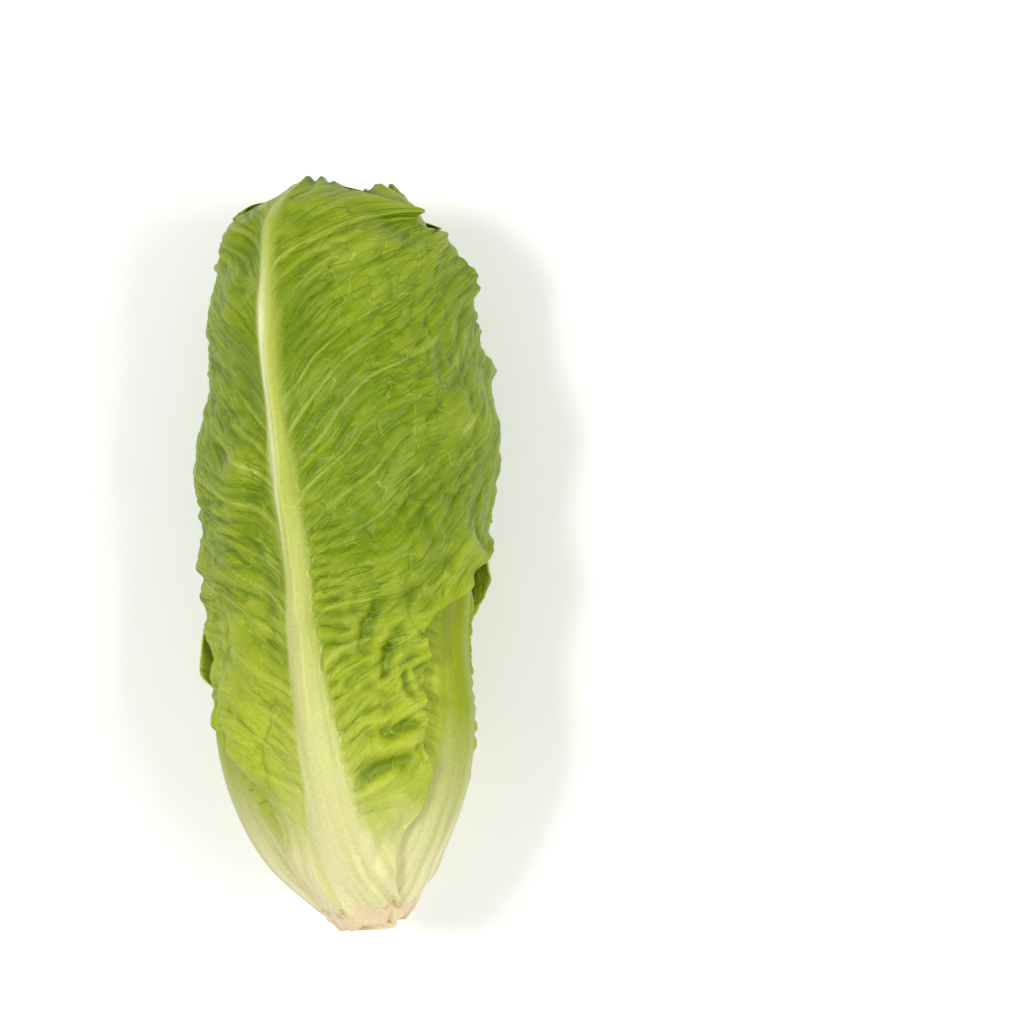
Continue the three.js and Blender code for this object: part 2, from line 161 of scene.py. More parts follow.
@dataclass(frozen=True)
class HeadForm:
    """The head's driving dimensions in millimetres, as in the part's own source.

    The last five are the fine leaves': rows crowd towards a leaf's foot as sin(spread * row) / sin(spread),
    faces keep a gap from what lies inside them, and the lowest margins settle onto it.
    """

    length: float = 180.0
    radius: float = 31.4
    axis_height: float = 35.2
    butt_radius: float = 7.5
    shoulder_station: float = 52.0
    shoulder_bulge: float = 5.0
    shoulder_roundness: float = 2.0
    crown_station: float = 112.0
    crown_reach: float = 70.0
    axis_bend: float = -3.3
    lower_bend: tuple[float, float] = (0.0, 18.0)
    upper_bend: tuple[float, float] = (60.0, 100.0)
    stem_length: float = 42.0
    stem_foot_radius: float = 6.4
    stem_top_radius: float = 3.0
    leaf_count: int = 14
    cut_leaves: int = 3
    foot_step: float = 2.0
    highest_foot: float = 20.0
    golden_angle: float = 137.5
    front_azimuth: float = -24.0
    outer_half_width: float = 66.0
    inner_half_width: float = 22.0
    blade_thickness: float = 0.9
    rib_foot_half_width: float = 7.8
    rib_tip_half_width: float = 1.1
    rib_height: float = 3.6
    leaf_gap: float = 0.7
    stem_gap: float = 0.35
    resting_floors: tuple[float, ...] = (0.0, 0.0, 2.0, 4.4)
    resting_leaf: int = 2
    resting_sag: float = 2.0
    heart_leaves: int = 4
    heart_station: float = 42.4
    heart_core_radius: float = 2.6
    heart_core_length: float = 62.0
    heart_sink: float = 0.5
    row_spread: float = 1.25
    fine_row_spread: float = 0.9
    fine_gap: float = 0.15
    settling: float = 5.0
    least_thickness: float = 0.4

    def body_radius(self, s: Array) -> Array:
        """Radius of the whole body: a blunt base, a full middle and a crown that closes in.

        The base rises as 1 - (1 - s / shoulder)^roundness to the full radius, and the crown closes as
        (1 - c^2.4)^0.6, with c the share of the way over it.

        Args:
            s: Station along the head.

        Returns:
            The radius there.
        """
        base = 1 - (1 - np.clip(s / self.shoulder_station, 0, 1)) ** self.shoulder_roundness
        closing = np.clip((s - self.crown_station) / self.crown_reach, 0, 0.98)
        crown = (1 - closing**2.4) ** 0.6
        full = self.radius + self.shoulder_bulge * smooth(100.0, self.shoulder_station, s)
        return mix(self.butt_radius, full, base) * crown

    def stem_radius(self, s: Array) -> Array:
        """Radius of the stem at a station."""
        return mix(self.stem_foot_radius, self.stem_top_radius, (s / self.stem_length) ** 1.5)

    def core_radius(self, share: Array) -> Array:
        """Radius of the heart's core at a share of its length: round at the foot, drawn out to a point."""
        taper = np.sqrt(np.clip(1 - share, 0, 1))
        return self.heart_core_radius * taper * mix(0.8, 1.0, smooth(0.0, 0.3, share))

    def start(self, s: Array) -> Array:
        """How far out the stem and the heart's core reach, as the leaves meet them.

        Args:
            s: Station along the head.

        Returns:
            The radius there.
        """
        stem = self.stem_radius(np.minimum(s, self.stem_length)) + self.stem_gap - self.leaf_gap
        share = (s - self.heart_station) / self.heart_core_length
        core = np.where(share < 1, self.core_radius(np.clip(share, 0, 1)), 0.0)
        return np.where(s <= self.heart_station, stem, core)

    def axis_at(self, s: Array) -> Array:
        """Where the head's axis lies across at a station: it runs to the left between its two bends."""
        return self.axis_bend * smooth(*self.lower_bend, s) * (1 - smooth(*self.upper_bend, s))

    def place(self, azimuth: Array, station: Array, radius: Array) -> Array:
        """Points in the part's frame: x is the axis's plus radius sin a, y the station less half the length,
        and z the axis's height plus radius cos a.

        Args:
            azimuth: Angle a round the axis, in degrees.
            station: Distance along it from the cut.
            radius: Distance from it.

        Returns:
            The points in millimetres, with x, y and z along the last axis.
        """
        a = np.radians(azimuth)
        x = self.axis_at(station) + radius * np.sin(a)
        return np.stack([x, station - self.length / 2, self.axis_height + radius * np.cos(a)], axis=-1)

    def plane_radius(self, azimuth: Array, height: float) -> Array:
        """The radius at which a level plane, a height above the resting surface, lies at an azimuth."""
        down = -np.cos(np.radians(azimuth))
        return np.where(down > 0.2, (self.axis_height - height) / np.maximum(down, 0.2), np.inf)


FORM = HeadForm()

# Half-width of the front leaf by station: its left side, and its right side with the bay in its margin.
FRONT_LEFT = (
    (0, 7), (25, 9), (33, 12), (40, 18), (48, 24), (60, 27), (81, 29), (95, 35), (110, 42), (132, 44),
    (150, 39), (162, 30), (171, 20), (180, 8),
)  # fmt: skip
FRONT_RIGHT = (
    (0, 7), (18, 10), (25, 17), (32, 27), (38, 32), (47, 35), (56, 37), (66, 37), (72, 33), (76, 38),
    (82, 47), (90, 57), (98, 69), (110, 74), (132, 70), (150, 57), (162, 42), (171, 27), (180, 11),
)  # fmt: skip

# How much further the front leaf reaches to the right over its clasping base, and to the left lower down.
FRONT_SKIRT = ((0, 2), (8, 5), (18, 9), (28, 8), (36, 4), (46, 0), (180, 0))
FRONT_FRILL = (
    (0, 0.7), (18, 3), (28, 2.8), (46, 0.5), (54, 3), (64, 6), (84, 6), (96, 2), (110, 0), (180, 0),
)  # fmt: skip
# Half-width of a midrib by station, and of the front leaf's midrib.
RIB = ((0, 8.2), (14, 7.6), (26, 5.9), (38, 4.5), (50, 3.5), (74, 2.5), (103, 1.7), (153, 1.0), (180, 0.6))
FRONT_RIB = (
    (0, 8.2), (14, 7.6), (26, 5.9), (38, 4.6), (50, 3.9), (66, 3.3), (78, 2.6), (103, 1.9), (126, 1.5),
    (153, 0.9), (180, 0.6),
)  # fmt: skip
# How far the front midrib's middle line runs to the right of the leaf's.
FRONT_SHIFT = (
    (0, 0.5), (18, 4.4), (36, 6.6), (56, 5.8), (68, 4.7), (80, 2.8), (92, 1.2), (104, 0.0), (118, -0.8),
    (138, -1.4), (153, -2.0), (180, -2.0),
)  # fmt: skip
# Deep folds in the front leaf: across, station, half-length, half-width, degrees from straight across, depth.
FRONT_HOLLOWS = (
    (20.4, 74.6, 6.8, 2.4, 62.0, 2.6), (25.4, 67.0, 6.2, 2.1, 74.0, 3.0), (28.5, 48.8, 6.0, 2.0, 17.0, 2.6),
    (21.5, 40.2, 7.4, 2.3, 18.0, 2.6), (31.5, 58.5, 3.4, 1.3, 118.0, 1.4), (17.5, 62.0, 4.4, 1.3, 40.0, 1.3),
)  # fmt: skip


class Weave(Enum):
    """How finely a leaf is woven: rows along it, and columns in its left half and in its right half."""

    FRONT = (380, 84, 120)
    OUTER = (300, 74, 74)
    MIDDLE = (220, 56, 56)
    INNER = (150, 42, 42)
    DEEP = (110, 28, 28)
    HEART = (90, 20, 20)


@dataclass
class Ground:
    """How far out everything laid so far reaches, by azimuth and station."""

    azimuths: int
    per_mm: int
    length: int = 200
    cells: Array = field(init=False)

    def __post_init__(self) -> None:
        """Starts the raster from the stem and the heart's core."""
        stations = np.arange(self.length * self.per_mm) / self.per_mm
        self.cells = np.repeat(FORM.start(stations)[:, None], self.azimuths, axis=1)

    def raise_to(self, azimuth: Array, station: Array, radius: Array) -> None:
        """Raises the four cells around each point to the point's radius.

        Args:
            azimuth: Angles of the points, in degrees.
            station: Their stations.
            radius: Their radii.
        """
        i = np.floor(azimuth / 360.0 * self.azimuths).astype(int)
        j = np.floor(station * self.per_mm).astype(int)
        last = len(self.cells) - 1
        for di in (0, 1):
            for dj in (0, 1):
                np.maximum.at(self.cells, (np.clip(j + dj, 0, last), (i + di) % self.azimuths), radius)

    def at(self, azimuth: Array, station: Array) -> Array:
        """Reads the raster between its cells, by a linear blend each way.

        Args:
            azimuth: Angles of the points, in degrees.
            station: Their stations.

        Returns:
            How far out the ground reaches there.
        """
        x = azimuth / 360.0 * self.azimuths
        y = np.clip(station * self.per_mm, 0, len(self.cells) - 1.001)
        i, j = np.floor(x).astype(int), np.floor(y).astype(int)
        a, b = i % self.azimuths, (i + 1) % self.azimuths
        low = mix(self.cells[j, a], self.cells[j, b], x - i)
        high = mix(self.cells[j + 1, a], self.cells[j + 1, b], x - i)
        return mix(low, high, y - j)


@dataclass
class Sheet:
    """A leaf's surface on a grid: where its middle lies, how far its two faces are from there, how far across
    from the leaf's middle line each point is (negative on the left) and the half-width of its side."""

    u: Array
    azimuth: Array
    station: Array
    radius: Array
    outward: Array
    inward: Array
    across: Array
    full: Array


@dataclass(frozen=True)
class LeafPlan:
    """One leaf: where it grows, its outline and how far it waves, in degrees and millimetres.

    It runs from its foot's station to its tip's, leans by some degrees along the head and lies at a share of
    the body's radius, its shell. It lies no lower than its floor, flattened over its sag, and keeps its gap
    from what lies inside it. Rib, relief and rib_spread are shares of a full-grown leaf's.
    """

    name: str
    seed: int
    azimuth: float
    lean: float
    shell: float
    foot: float
    tip: float
    half_width: float
    right_share: float
    front: bool
    floor: float
    sag: float
    gap: float
    rib: float
    ruffle: float
    flare: float
    rows: int
    rib_columns: tuple[float, ...]
    blade_columns: tuple[float, ...]
    weave: Weave
    relief: float
    rib_spread: float = 1.0

    def rib_half_width(self, u: Array) -> Array:
        """Half-width of the midrib, narrowing with the 0.8th power of the share of length."""
        return self.rib * mix(FORM.rib_foot_half_width, FORM.rib_tip_half_width, u**0.8)

    def rib_line(self, s: Array, u: Array) -> tuple[Array, Array]:
        """The midrib's middle line and the half-width that it shows.

        Args:
            s: Stations.
            u: Shares of the leaf's length there.

        Returns:
            How far to the right of the leaf's middle line the rib's runs, and its half-width.
        """
        if self.front:
            return np.interp(s, *zip(*FRONT_SHIFT)), np.interp(s, *zip(*FRONT_RIB))
        return 0 * s, self.rib_spread * self.rib * np.interp(u * FORM.length, *zip(*RIB))

    def rib_height(self, u: Array) -> Array:
        """How far the midrib stands out of the blade."""
        return self.rib * FORM.rib_height * smooth(-0.08, 0.14, u) * mix(1.0, 0.16, u**0.8)

    def half_width_at(self, u: Array, side: Array) -> Array:
        """Half-width of one side of the leaf: a clasping foot, spreading to a broad, round, lobed end.

        The foot widens as 1 - e^(-u / 0.09), the end closes as (1 - e^2.2)^0.5 with e the share of the way
        over it, and the lobes are a sine of 5 %. The front leaf's is read from its own tables.

        Args:
            u: Share of the leaf's length.
            side: -1 for the left side and 1 for the right one.

        Returns:
            The half-width.
        """
        if self.front:
            left = np.interp(u * FORM.length, *zip(*FRONT_LEFT))
            right = np.interp(u * FORM.length, *zip(*FRONT_RIGHT))
            return np.where(side > 0, right, left)
        foot = mix(0.5, 1.0, self.shell) * (8 + 14 * (1 - np.exp(-u / 0.09)))
        full = self.half_width * np.where(side > 0, self.right_share, 2 - self.right_share)
        end = np.sqrt(1 - np.clip((u - 0.6) / 0.405, 0, 1) ** 2.2)
        lobes = 1 + 0.05 * np.sin(u * 34 + self.seed * 2.1 + side) * smooth(0.2, 0.5, u)
        return mix(foot, full, smooth(0.13, 0.61, u)) * end * lobes

    def lay(self, u: Array, side: Array, across: Array, full: Array) -> Sheet:
        """Lays the leaf as it would lie alone, a plain sheet of the blade's thickness.

        The azimuth is the leaf's own and its lean, plus the distance across over the shell's radius. The
        radius is the shell's less the rib's height, plus waves that grow with the square of the distance
        across, and the flare of the leaf's free margin and end.

        Args:
            u: Share of the leaf's length for each row, as a column.
            side: -1 left of the middle line and 1 right of it, for each column of the grid.
            across: Distance from the middle line.
            full: Half-width of the leaf on that side.

        Returns:
            The laid sheet.
        """
        station = mix(self.foot, self.tip, u)
        shell = self.shell * FORM.body_radius(station)
        out = across / full
        thickness = FORM.blade_thickness + 1.1 * smooth(-0.06, 0.1, u) * smooth(0.36, 0.1, u)
        wave = np.sin(u * 27 + self.seed * 1.7 + side * 0.9) * out * out * smooth(0.15, 0.45, u)
        wave = wave + 0.7 * np.sin(side * across * 0.33 + self.seed * 2.3) * smooth(0.78, 1.0, u)
        free = np.maximum(smooth(0.75, 1.0, u), smooth(0.25, 0.55, u) * out**3)
        azimuth = self.azimuth + self.lean * (station / FORM.length - 0.5)
        azimuth = azimuth + np.degrees(side * across / np.maximum(shell, 8.0))
        radius = shell - self.rib_height(u) + self.ruffle * wave + self.flare * free
        grids = [u, azimuth, station, radius, thickness / 2, thickness / 2, side * across, full]
        return Sheet(*(np.array(np.broadcast_to(g, azimuth.shape), float) for g in grids))

    def coarse_sheet(self) -> tuple[Sheet, Array]:
        """The leaf as the part's source lays it, with its midrib.

        With r the place across the rib, it adds its height times (1 - 0.97 r^2)^0.5 on the outer face and a
        quarter of 1 - r^2 on the inner one.

        Returns:
            The sheet, and the place of each column: -1 to 1 over the rib, and out to 2 either way over the
            blade.
        """
        half = [(r, 0.0) for r in self.rib_columns[1:]] + [(1.0, b) for b in self.blade_columns]
        both = [(-1.0, r, b) for r, b in reversed(half)] + [(1.0, 0.0, 0.0)] + [(1.0, r, b) for r, b in half]
        side, r, b = np.array(both).T
        spread = FORM.row_spread
        u = np.sin(np.arange(self.rows + 1)[:, None] / self.rows * spread) / math.sin(spread)
        full = self.half_width_at(u, side)
        rib = np.minimum(self.rib_half_width(u), 0.6 * full)
        sheet = self.lay(u, side, r * rib + b * (full - rib), full)
        on_rib = np.where(b > 0, 0.0, 1.0) * self.rib_height(u)
        sheet.outward += on_rib * np.sqrt(1 - 0.97 * r * r)
        sheet.inward += on_rib * 0.25 * (1 - r * r)
        return sheet, side * (r + b)

    def fine_sheet(self) -> Sheet:
        """The leaf on a fine grid, with finer lobes along its margin and a round tip.

        The lobes are a sine 11 mm long, shifted by noise, and noise 5 mm long. Over the last tenth of its
        length, stations fall back by 7 mm times the square of the share across.

        Returns:
            The laid sheet, without its midrib.
        """
        rows, left, right = self.weave.value
        share = np.concatenate([np.linspace(-1, 0, left + 1), np.linspace(0, 1, right + 1)[1:]])
        side = np.where(share < 0, -1.0, 1.0)
        spread = FORM.fine_row_spread
        u = np.sin(np.arange(rows + 1)[:, None] / rows * spread) / math.sin(spread)
        full = self.half_width_at(u, side)
        s = mix(self.foot, self.tip, u)
        if self.front:
            skirt, frill = np.interp(s, *zip(*FRONT_SKIRT)), np.interp(s, *zip(*FRONT_FRILL))
            full = full + np.where(side > 0, skirt, frill)
        lobes = np.sin(s / 1.75 + 3.0 * noise(s / 13.0, side * 3.0, self.seed))
        lobes = lobes + 1.2 * crumple(s / 5.0, side * 5.0, self.seed + 3)
        full = full + (0.3 if self.sag else 0.8) * self.relief * lobes * smooth(0.12, 0.3, u)
        sheet = self.lay(u, side, np.abs(share) * full, full)
        droop = 7.0 * share**2 + 1.2 * self.relief * noise(share * 9.0, share * 0 + self.seed, 5)
        sheet.station -= droop * smooth(0.9, 1.0, u)
        return sheet

    def coarse_columns_at(self, sheet: Sheet, places: Array) -> Array:
        """Finds where the points of a fine sheet lie among the columns of the coarse one.

        Args:
            sheet: The fine sheet.
            places: Place of each coarse column, from -2 to 2.

        Returns:
            The column that each point lies at, counted from the left, with its fraction.
        """
        side = np.where(sheet.across < 0, -1.0, 1.0)
        full = self.half_width_at(sheet.u, side)
        rib = np.minimum(self.rib_half_width(sheet.u), 0.6 * full)
        across = np.abs(sheet.across)
        place = np.where(across < rib, across / rib, 1 + (across - rib) / (full - rib))
        return np.interp(side * np.clip(place, 0, 2), places, np.arange(len(places)))


def cell_samples(form: Sheet, face: int, count: int = 12) -> tuple[Array, Array, Array, Array]:
    """Points spread over the two triangles of every cell of one face.

    Args:
        form: The sheet.
        face: 1 for the outer face and -1 for the inner one.
        count: Steps each way over a cell.

    Returns:
        Azimuth, station and radius of the points, each (points in a cell, rows, columns), and the weight of
        the cell's four corners at each point.
    """
    radius = form.radius + (form.outward if face > 0 else -form.inward)
    points = FORM.place(form.azimuth, form.station, radius)
    x, y = (g.ravel() / count for g in np.meshgrid(*[np.arange(count + 1)] * 2, indexing="ij"))
    near = np.stack([1 - x - y, x, y, 0 * x], axis=-1)
    far = np.stack([0 * x, 1 - y, 1 - x, x + y - 1], axis=-1)
    weights = np.where((x + y <= 1 + 1e-12)[:, None], near, far)
    corners = np.stack([points[:-1, :-1], points[:-1, 1:], points[1:, :-1], points[1:, 1:]])
    spread = np.einsum("sc,cijk->sijk", weights, corners)
    station = spread[..., 1] + FORM.length / 2
    right, up = spread[..., 0] - FORM.axis_at(station), spread[..., 2] - FORM.axis_height
    return np.degrees(np.arctan2(right, up)), station, np.hypot(right, up), weights


PUSHES = 7  # in all, when a coarse sheet is pressed out
EASED_PUSHES = 3  # of them, the first, which are eased into the cells around


def press_out(form: Sheet, ground: Ground, plan: LeafPlan) -> None:
    """Presses a coarse sheet out until its inner face clears the ground, and flattens it at its floor.

    Args:
        form: The sheet, changed in place.
        ground: What it has to clear.
        plan: Its gap, floor and sag.
    """
    for turn in range(1, PUSHES + 1):
        azimuth, station, radius, weights = cell_samples(form, -1)
        short = np.maximum(ground.at(azimuth, station) + plan.gap - radius, 0.0)
        share = np.ones_like(weights) if turn == PUSHES else np.minimum(1.0, 1.6 * weights)
        need = np.einsum("sij,sc->csij", short, share).max(axis=1)
        lift = np.zeros_like(form.radius)
        for c, (di, dj) in enumerate([(0, 0), (0, 1), (1, 0), (1, 1)]):
            view = lift[di : di + need.shape[1], dj : dj + need.shape[2]]
            np.maximum(view, need[c], out=view)
        edge = np.pad(lift, 1, constant_values=np.nan)
        beside = np.stack([edge[:-2, 1:-1], edge[2:, 1:-1], edge[1:-1, :-2], edge[1:-1, 2:]])
        mean = np.where(np.isnan(beside), lift, beside).mean(axis=0)
        easing = 0.5 if turn <= EASED_PUSHES else 0.0
        form.radius += np.maximum(lift, easing * (lift + mean))
    limit = FORM.plane_radius(form.azimuth, plan.floor) - form.outward
    form.radius = np.where(form.radius > limit - plan.sag, limit, form.radius)


# ------------------------------------------------------------- the fine leaves


@dataclass
class Relief:
    """What a leaf's faces carry beyond the plain sheet: heights in millimetres, masks from 0 to 1, and places
    along its side veins and its pleats in metres."""

    blade: Array
    rib: Array
    masks: dict[str, Array]
    maps: dict[str, Array]


def pillows(x: Array, y: Array, seed: int) -> tuple[Array, Array]:
    """Rounded swellings with narrow creases between them, where noise changes sign.

    Args:
        x: First coordinate, one unit to a swelling.
        y: Second coordinate.
        seed: Chooses the pattern.

    Returns:
        The swellings, the 0.7th power of the noise without its sign, and the creases, e^-(noise / 0.07)^2.
    """
    value = noise(x, y, seed) + 0.3 * noise(2.3 * x, 2.3 * y, seed + 1)
    return np.abs(value) ** 0.7, np.exp(-((value / 0.07) ** 2))


def hollows(across: Array, station: Array, seed: int) -> Array:
    """Deep folds in the front leaf, each a long, slightly bowed dip with a raised rim.

    With r the distance from its middle, counted in half-lengths and half-widths, a fold sinks by its depth
    times e^(-1.1 r^2) - 0.25 e^(-((r - 1.9) / 0.8)^2).

    Args:
        across: Distance to the right of the leaf's middle line.
        station: Station along the leaf.
        seed: Chooses the unevenness of their outlines.

    Returns:
        How far the blade sinks, in millimetres, below 0 where the rims stand up.
    """
    depth = np.zeros(np.broadcast(across, station).shape)
    uneven = 0.25 * noise(across / 3.6, station / 3.6, seed)
    for x, s, long, wide, turn, deep in FRONT_HOLLOWS:
        a = math.radians(turn)
        along = ((across - x) * math.cos(a) + (station - s) * math.sin(a)) / long
        aside = ((station - s) * math.cos(a) - (across - x) * math.sin(a)) / wide
        r = np.hypot(along**2, aside + 0.5 * along**2) + uneven
        depth += deep * (np.exp(-(r**2) * 1.1) - 0.25 * np.exp(-(((r - 1.9) / 0.8) ** 2)))
    return depth


VEIN_SPACING = 8.5  # mm between side veins where they leave the rib
PLEAT_SPACING = 3.3  # mm between the pleats beside the rib

Patterns = dict[str, Array]


@dataclass(frozen=True)
class ReliefHeights:
    """How high each pattern stands on a full-grown leaf, in millimetres.

    Low ones are those in the crushed part low on the right, the valley is the blade's dip away from the rib,
    and resting is the share of ruffle and curl left on the leaf that the head lies on. The last three are
    shares of the rib's size.
    """

    long: float = 1.5
    outer_long: float = 1.1
    short: float = 0.65
    pleat: float = 1.25
    round: float = 1.0
    folds: float = 0.6
    low_folds: float = 0.3
    crushed: float = 1.7
    swell: float = 0.7
    vein: float = 0.26
    twig: float = 0.12
    groove: float = 0.5
    valley: float = 2.1
    ruffle: float = 0.95
    curl: float = 0.7
    resting: float = 0.4
    bands: float = 0.07
    ridges: float = 0.22
    dents: float = 0.35


@dataclass
class LeafRelief:
    """Veins, pleats, swellings and folds of one leaf, from the place of each point on it.

    Side veins leave the rib almost along it and then climb outwards: the station where one starts is the
    point's station less slope * x + b (1 - e^(-x/r)) + 0.003 x^2, with x the distance from the rib's edge, b
    from 4 to 6 mm and r from 2.5 to 4.5 mm up the leaf. The blade swells between them in long pillows that
    follow them, in pleats close to the rib and in round pillows towards the margins. Lengths are in
    millimetres, and hand keeps the noise of the leaf's two sides apart.
    """

    plan: LeafPlan
    form: Sheet
    heights: ReliefHeights = ReliefHeights()
    seed: int = field(init=False)
    half: Array = field(init=False)
    from_line: Array = field(init=False)
    left: Array = field(init=False)
    up: Array = field(init=False)
    hand: Array = field(init=False)
    x: Array = field(init=False)
    edge: Array = field(init=False)
    leafy: Array = field(init=False)
    warp: Array = field(init=False)
    start: Array = field(init=False)
    strength: Array = field(init=False)

    def __post_init__(self) -> None:
        """Works out each point's distance from the rib and the margin, and where its side vein starts."""
        u, s = self.form.u, self.form.station
        self.seed = self.plan.seed * 31
        shift, self.half = self.plan.rib_line(s, u)
        self.from_line = self.form.across - shift
        self.left, self.up = self.from_line < 0, smooth(0.35, 0.7, u)
        hand = self.hand = np.where(self.left, -40.0, 40.0)
        x = self.x = np.maximum(np.abs(self.from_line) - self.half, 0.0)
        self.edge = np.maximum(self.form.full - np.abs(self.form.across), 0.0)
        self.leafy = smooth(0.07, 0.26, u) * smooth(0.0, 2.0, x)
        slope = mix(np.where(self.left, 0.14, 0.36), 0.5, self.up)
        warp = 3.4 * noise(s / 26 + hand, x / 24, self.seed)
        warp = warp + 1.1 * noise(s / 9 + hand, x / 10, self.seed + 1)
        bow = mix(4.0, 6.0, self.up) * (1 - np.exp(-x / mix(2.5, 4.5, self.up)))
        self.warp, self.start = warp, s - (slope * x + bow + 0.003 * x * x) + warp
        self.strength = np.clip(0.62 + 0.75 * noise(self.start / 9 + hand, x / 26, self.seed + 3), 0, 1)

    def veins(self) -> Patterns:
        """Side veins, the twigs between them and grooves that nearly follow them.

        At a distance d from its middle a vein is e^-(d/w)^2 high, with w = 0.26 + 0.5 e^(-x/7). Twigs and
        grooves run where noise changes sign.

        Returns:
            "vein", "twig" and "groove", each from 0 to 1.
        """
        s, x, hand, start, seed = self.form.station, self.x, self.hand, self.start, self.seed
        turn = start / VEIN_SPACING + 0.3 * noise(start / 17 + hand, x * 0, seed + 2)
        off = (0.5 - np.abs(turn - np.floor(turn) - 0.5)) * VEIN_SPACING
        vein = np.exp(-((off / (0.26 + 0.5 * np.exp(-x / 7))) ** 2)) * self.strength * smooth(60.0, 16.0, x)
        branch = noise((start + 0.5 * x) / 4.2 + hand, x / 11, seed + 12)
        twig = np.exp(-((branch / 0.05) ** 2)) * smooth(2.0, 9.0, x) * np.clip(self.strength - 0.1, 0, 1)
        groove = noise((start - 0.12 * x) / 4.6 + hand, x / 22, seed + 18)
        shown = np.clip(0.7 + 0.9 * noise(s / 8, x / 10 + hand, seed + 19), 0, 1)
        return {"vein": vein, "twig": twig, "groove": np.exp(-((groove / 0.075) ** 2)) * shown}

    def pleats(self) -> Patterns:
        """Pleats beside the rib, each a rounded ridge 1 - |p|^3 with p from -1 to 1 across it.

        Their ends by the rib are round, following 1.6 p^4 mm, and begin at places of their own.

        Returns:
            "fingers", how far the blade is pleated, and "pleat", the ridges, from 0 to 1; "pleat_at", the
            number of pleats up to a point; and "begun", the distance from the end by the rib.
        """
        u, s, x, hand, seed = self.form.u, self.form.station, self.x, self.hand, self.seed
        reach = 11.5 + 4.0 * noise(s / 5.5, hand, seed + 21)
        fingers = smooth(0.12, 0.2, u) * smooth(0.66, 0.48, u) * smooth(reach, reach - 6.0, x)
        uneven = np.clip(0.85 + 0.4 * noise(s / 9, x / 7 + hand, seed + 22), 0, 1)
        fingers = fingers * uneven * np.where(self.left, 0.35, 1.0)
        pleat_at = (s - 0.36 * x + 0.9 * self.warp) / PLEAT_SPACING
        pleat_at = pleat_at + 0.4 * noise(s / 8 + hand, x / 8, seed + 13)
        number = np.floor(pleat_at)
        across = np.abs(2 * (pleat_at - number) - 1)
        begun = x + 0.4 - 2.4 * lattice(number, 0 * number + np.sign(hand), seed + 27) ** 2
        pleat = (1 - across**3.0) * smooth(0.0, 1.8, begun - 1.6 * across**4)
        pleat = pleat * (0.55 + 0.7 * lattice(number, 0 * number + 7, seed + 28))
        return {"fingers": fingers, "pleat": pleat, "pleat_at": pleat_at, "begun": begun}

    def swellings(self) -> Patterns:
        """Pillows along the veins and towards the margin, folds, and the crushed part low on the right.

        Returns:
            "long", "short" and "round" pillows with their creases, "folds", "crushed" and "swell", and the
            zones "outer", "low" and "sunk", the last in millimetres.
        """
        u, s, x, hand, seed, start = self.form.u, self.form.station, self.x, self.hand, self.seed, self.start
        coarser = np.where(self.left, mix(1.55, 1.0, self.up), 1.0)
        long, long_crease = pillows(start / (5.4 * coarser) + hand, x / 24, seed + 4)
        short, short_crease = pillows(start / 2.7 + hand, x / 9, seed + 5)
        round_ones, round_crease = pillows(s / 6.6 + hand, x / 6.0 + 0.2 * self.warp, seed + 6)
        crushed = pillows((s - 0.5 * x) / 7.0 + 2.6, (x + 0.25 * s) / 11.0 + 0.25 * self.warp, seed + 23)[0]
        crushed = crushed + 0.12 * pillows(s / 4.6, x / 4.2 + hand, seed + 24)[0]
        low = smooth(0.54, 0.42, u) * smooth(0.1, 0.2, u) * smooth(5.0, 12.0, x) * (self.from_line > 0)
        return {
            "long": long,
            "long_crease": long_crease,
            "short": short,
            "short_crease": short_crease,
            "round": round_ones,
            "round_crease": round_crease,
            "folds": crumple(start / 12 + hand, x / 14, seed + 7),
            "crushed": crushed,
            "swell": noise(s / 29 + hand, x / 24, seed + 9),
            "outer": smooth(9.0, 24.0, x) * smooth(0.1, 0.3, u) * mix(1.0, 0.8, self.up),
            "low": low,
            "sunk": hollows(self.form.across, s, seed + 26) if self.plan.front else 0 * x,
        }

    def blade(self, p: Patterns) -> Array:
        """The blade's height: the sum of the patterns, each in its own zone, and a ruffled, curled margin.

        Args:
            p: The patterns.

        Returns:
            The height in millimetres.
        """
        s, x, hand, seed, high = self.form.station, self.x, self.hand, self.seed, self.heights
        up, outer, low, free = self.up, p["outer"], p["low"], 1 - 0.8 * p["fingers"]
        calmer = np.where(self.left, mix(0.5, 1.0, up), 1.0 - 0.7 * low)
        long = mix(high.long, high.outer_long, outer) * mix(1.0, 0.65, up)
        height = self.leafy * (
            long * p["long"] * smooth(0.5, 6.0, x) * free
            + high.short * p["short"] * smooth(2.0, 7.0, x) * free * calmer
            + high.pleat * p["pleat"] * p["fingers"]
            + high.round * (1.0 - 0.75 * low) * p["round"] * outer
            + (high.folds + high.low_folds * low) * p["folds"] * smooth(3.0, 14.0, x)
            + high.crushed * (p["crushed"] - 0.5) * low
            + high.swell * p["swell"] * smooth(4.0, 16.0, x)
            + high.vein * p["vein"]
            + high.twig * p["twig"]
            - high.groove * p["groove"] * smooth(1.0, 5.0, x) * free
            - high.valley * smooth(0.0, 7.0, x)
        )
        ruffle = np.sin(s / 2.1 + 3.4 * noise(s / 11 + hand, x * 0, seed + 11))
        ruffle = ruffle + 0.6 * noise(s / 2.4, hand, seed + 14)
        curl = high.ruffle * ruffle * np.exp(-self.edge / 3.6) + high.curl * np.exp(-self.edge / 2.2)
        calm = high.resting if self.plan.sag else 1.0
        return height - p["sunk"] + calm * smooth(0.14, 0.3, self.form.u) * curl

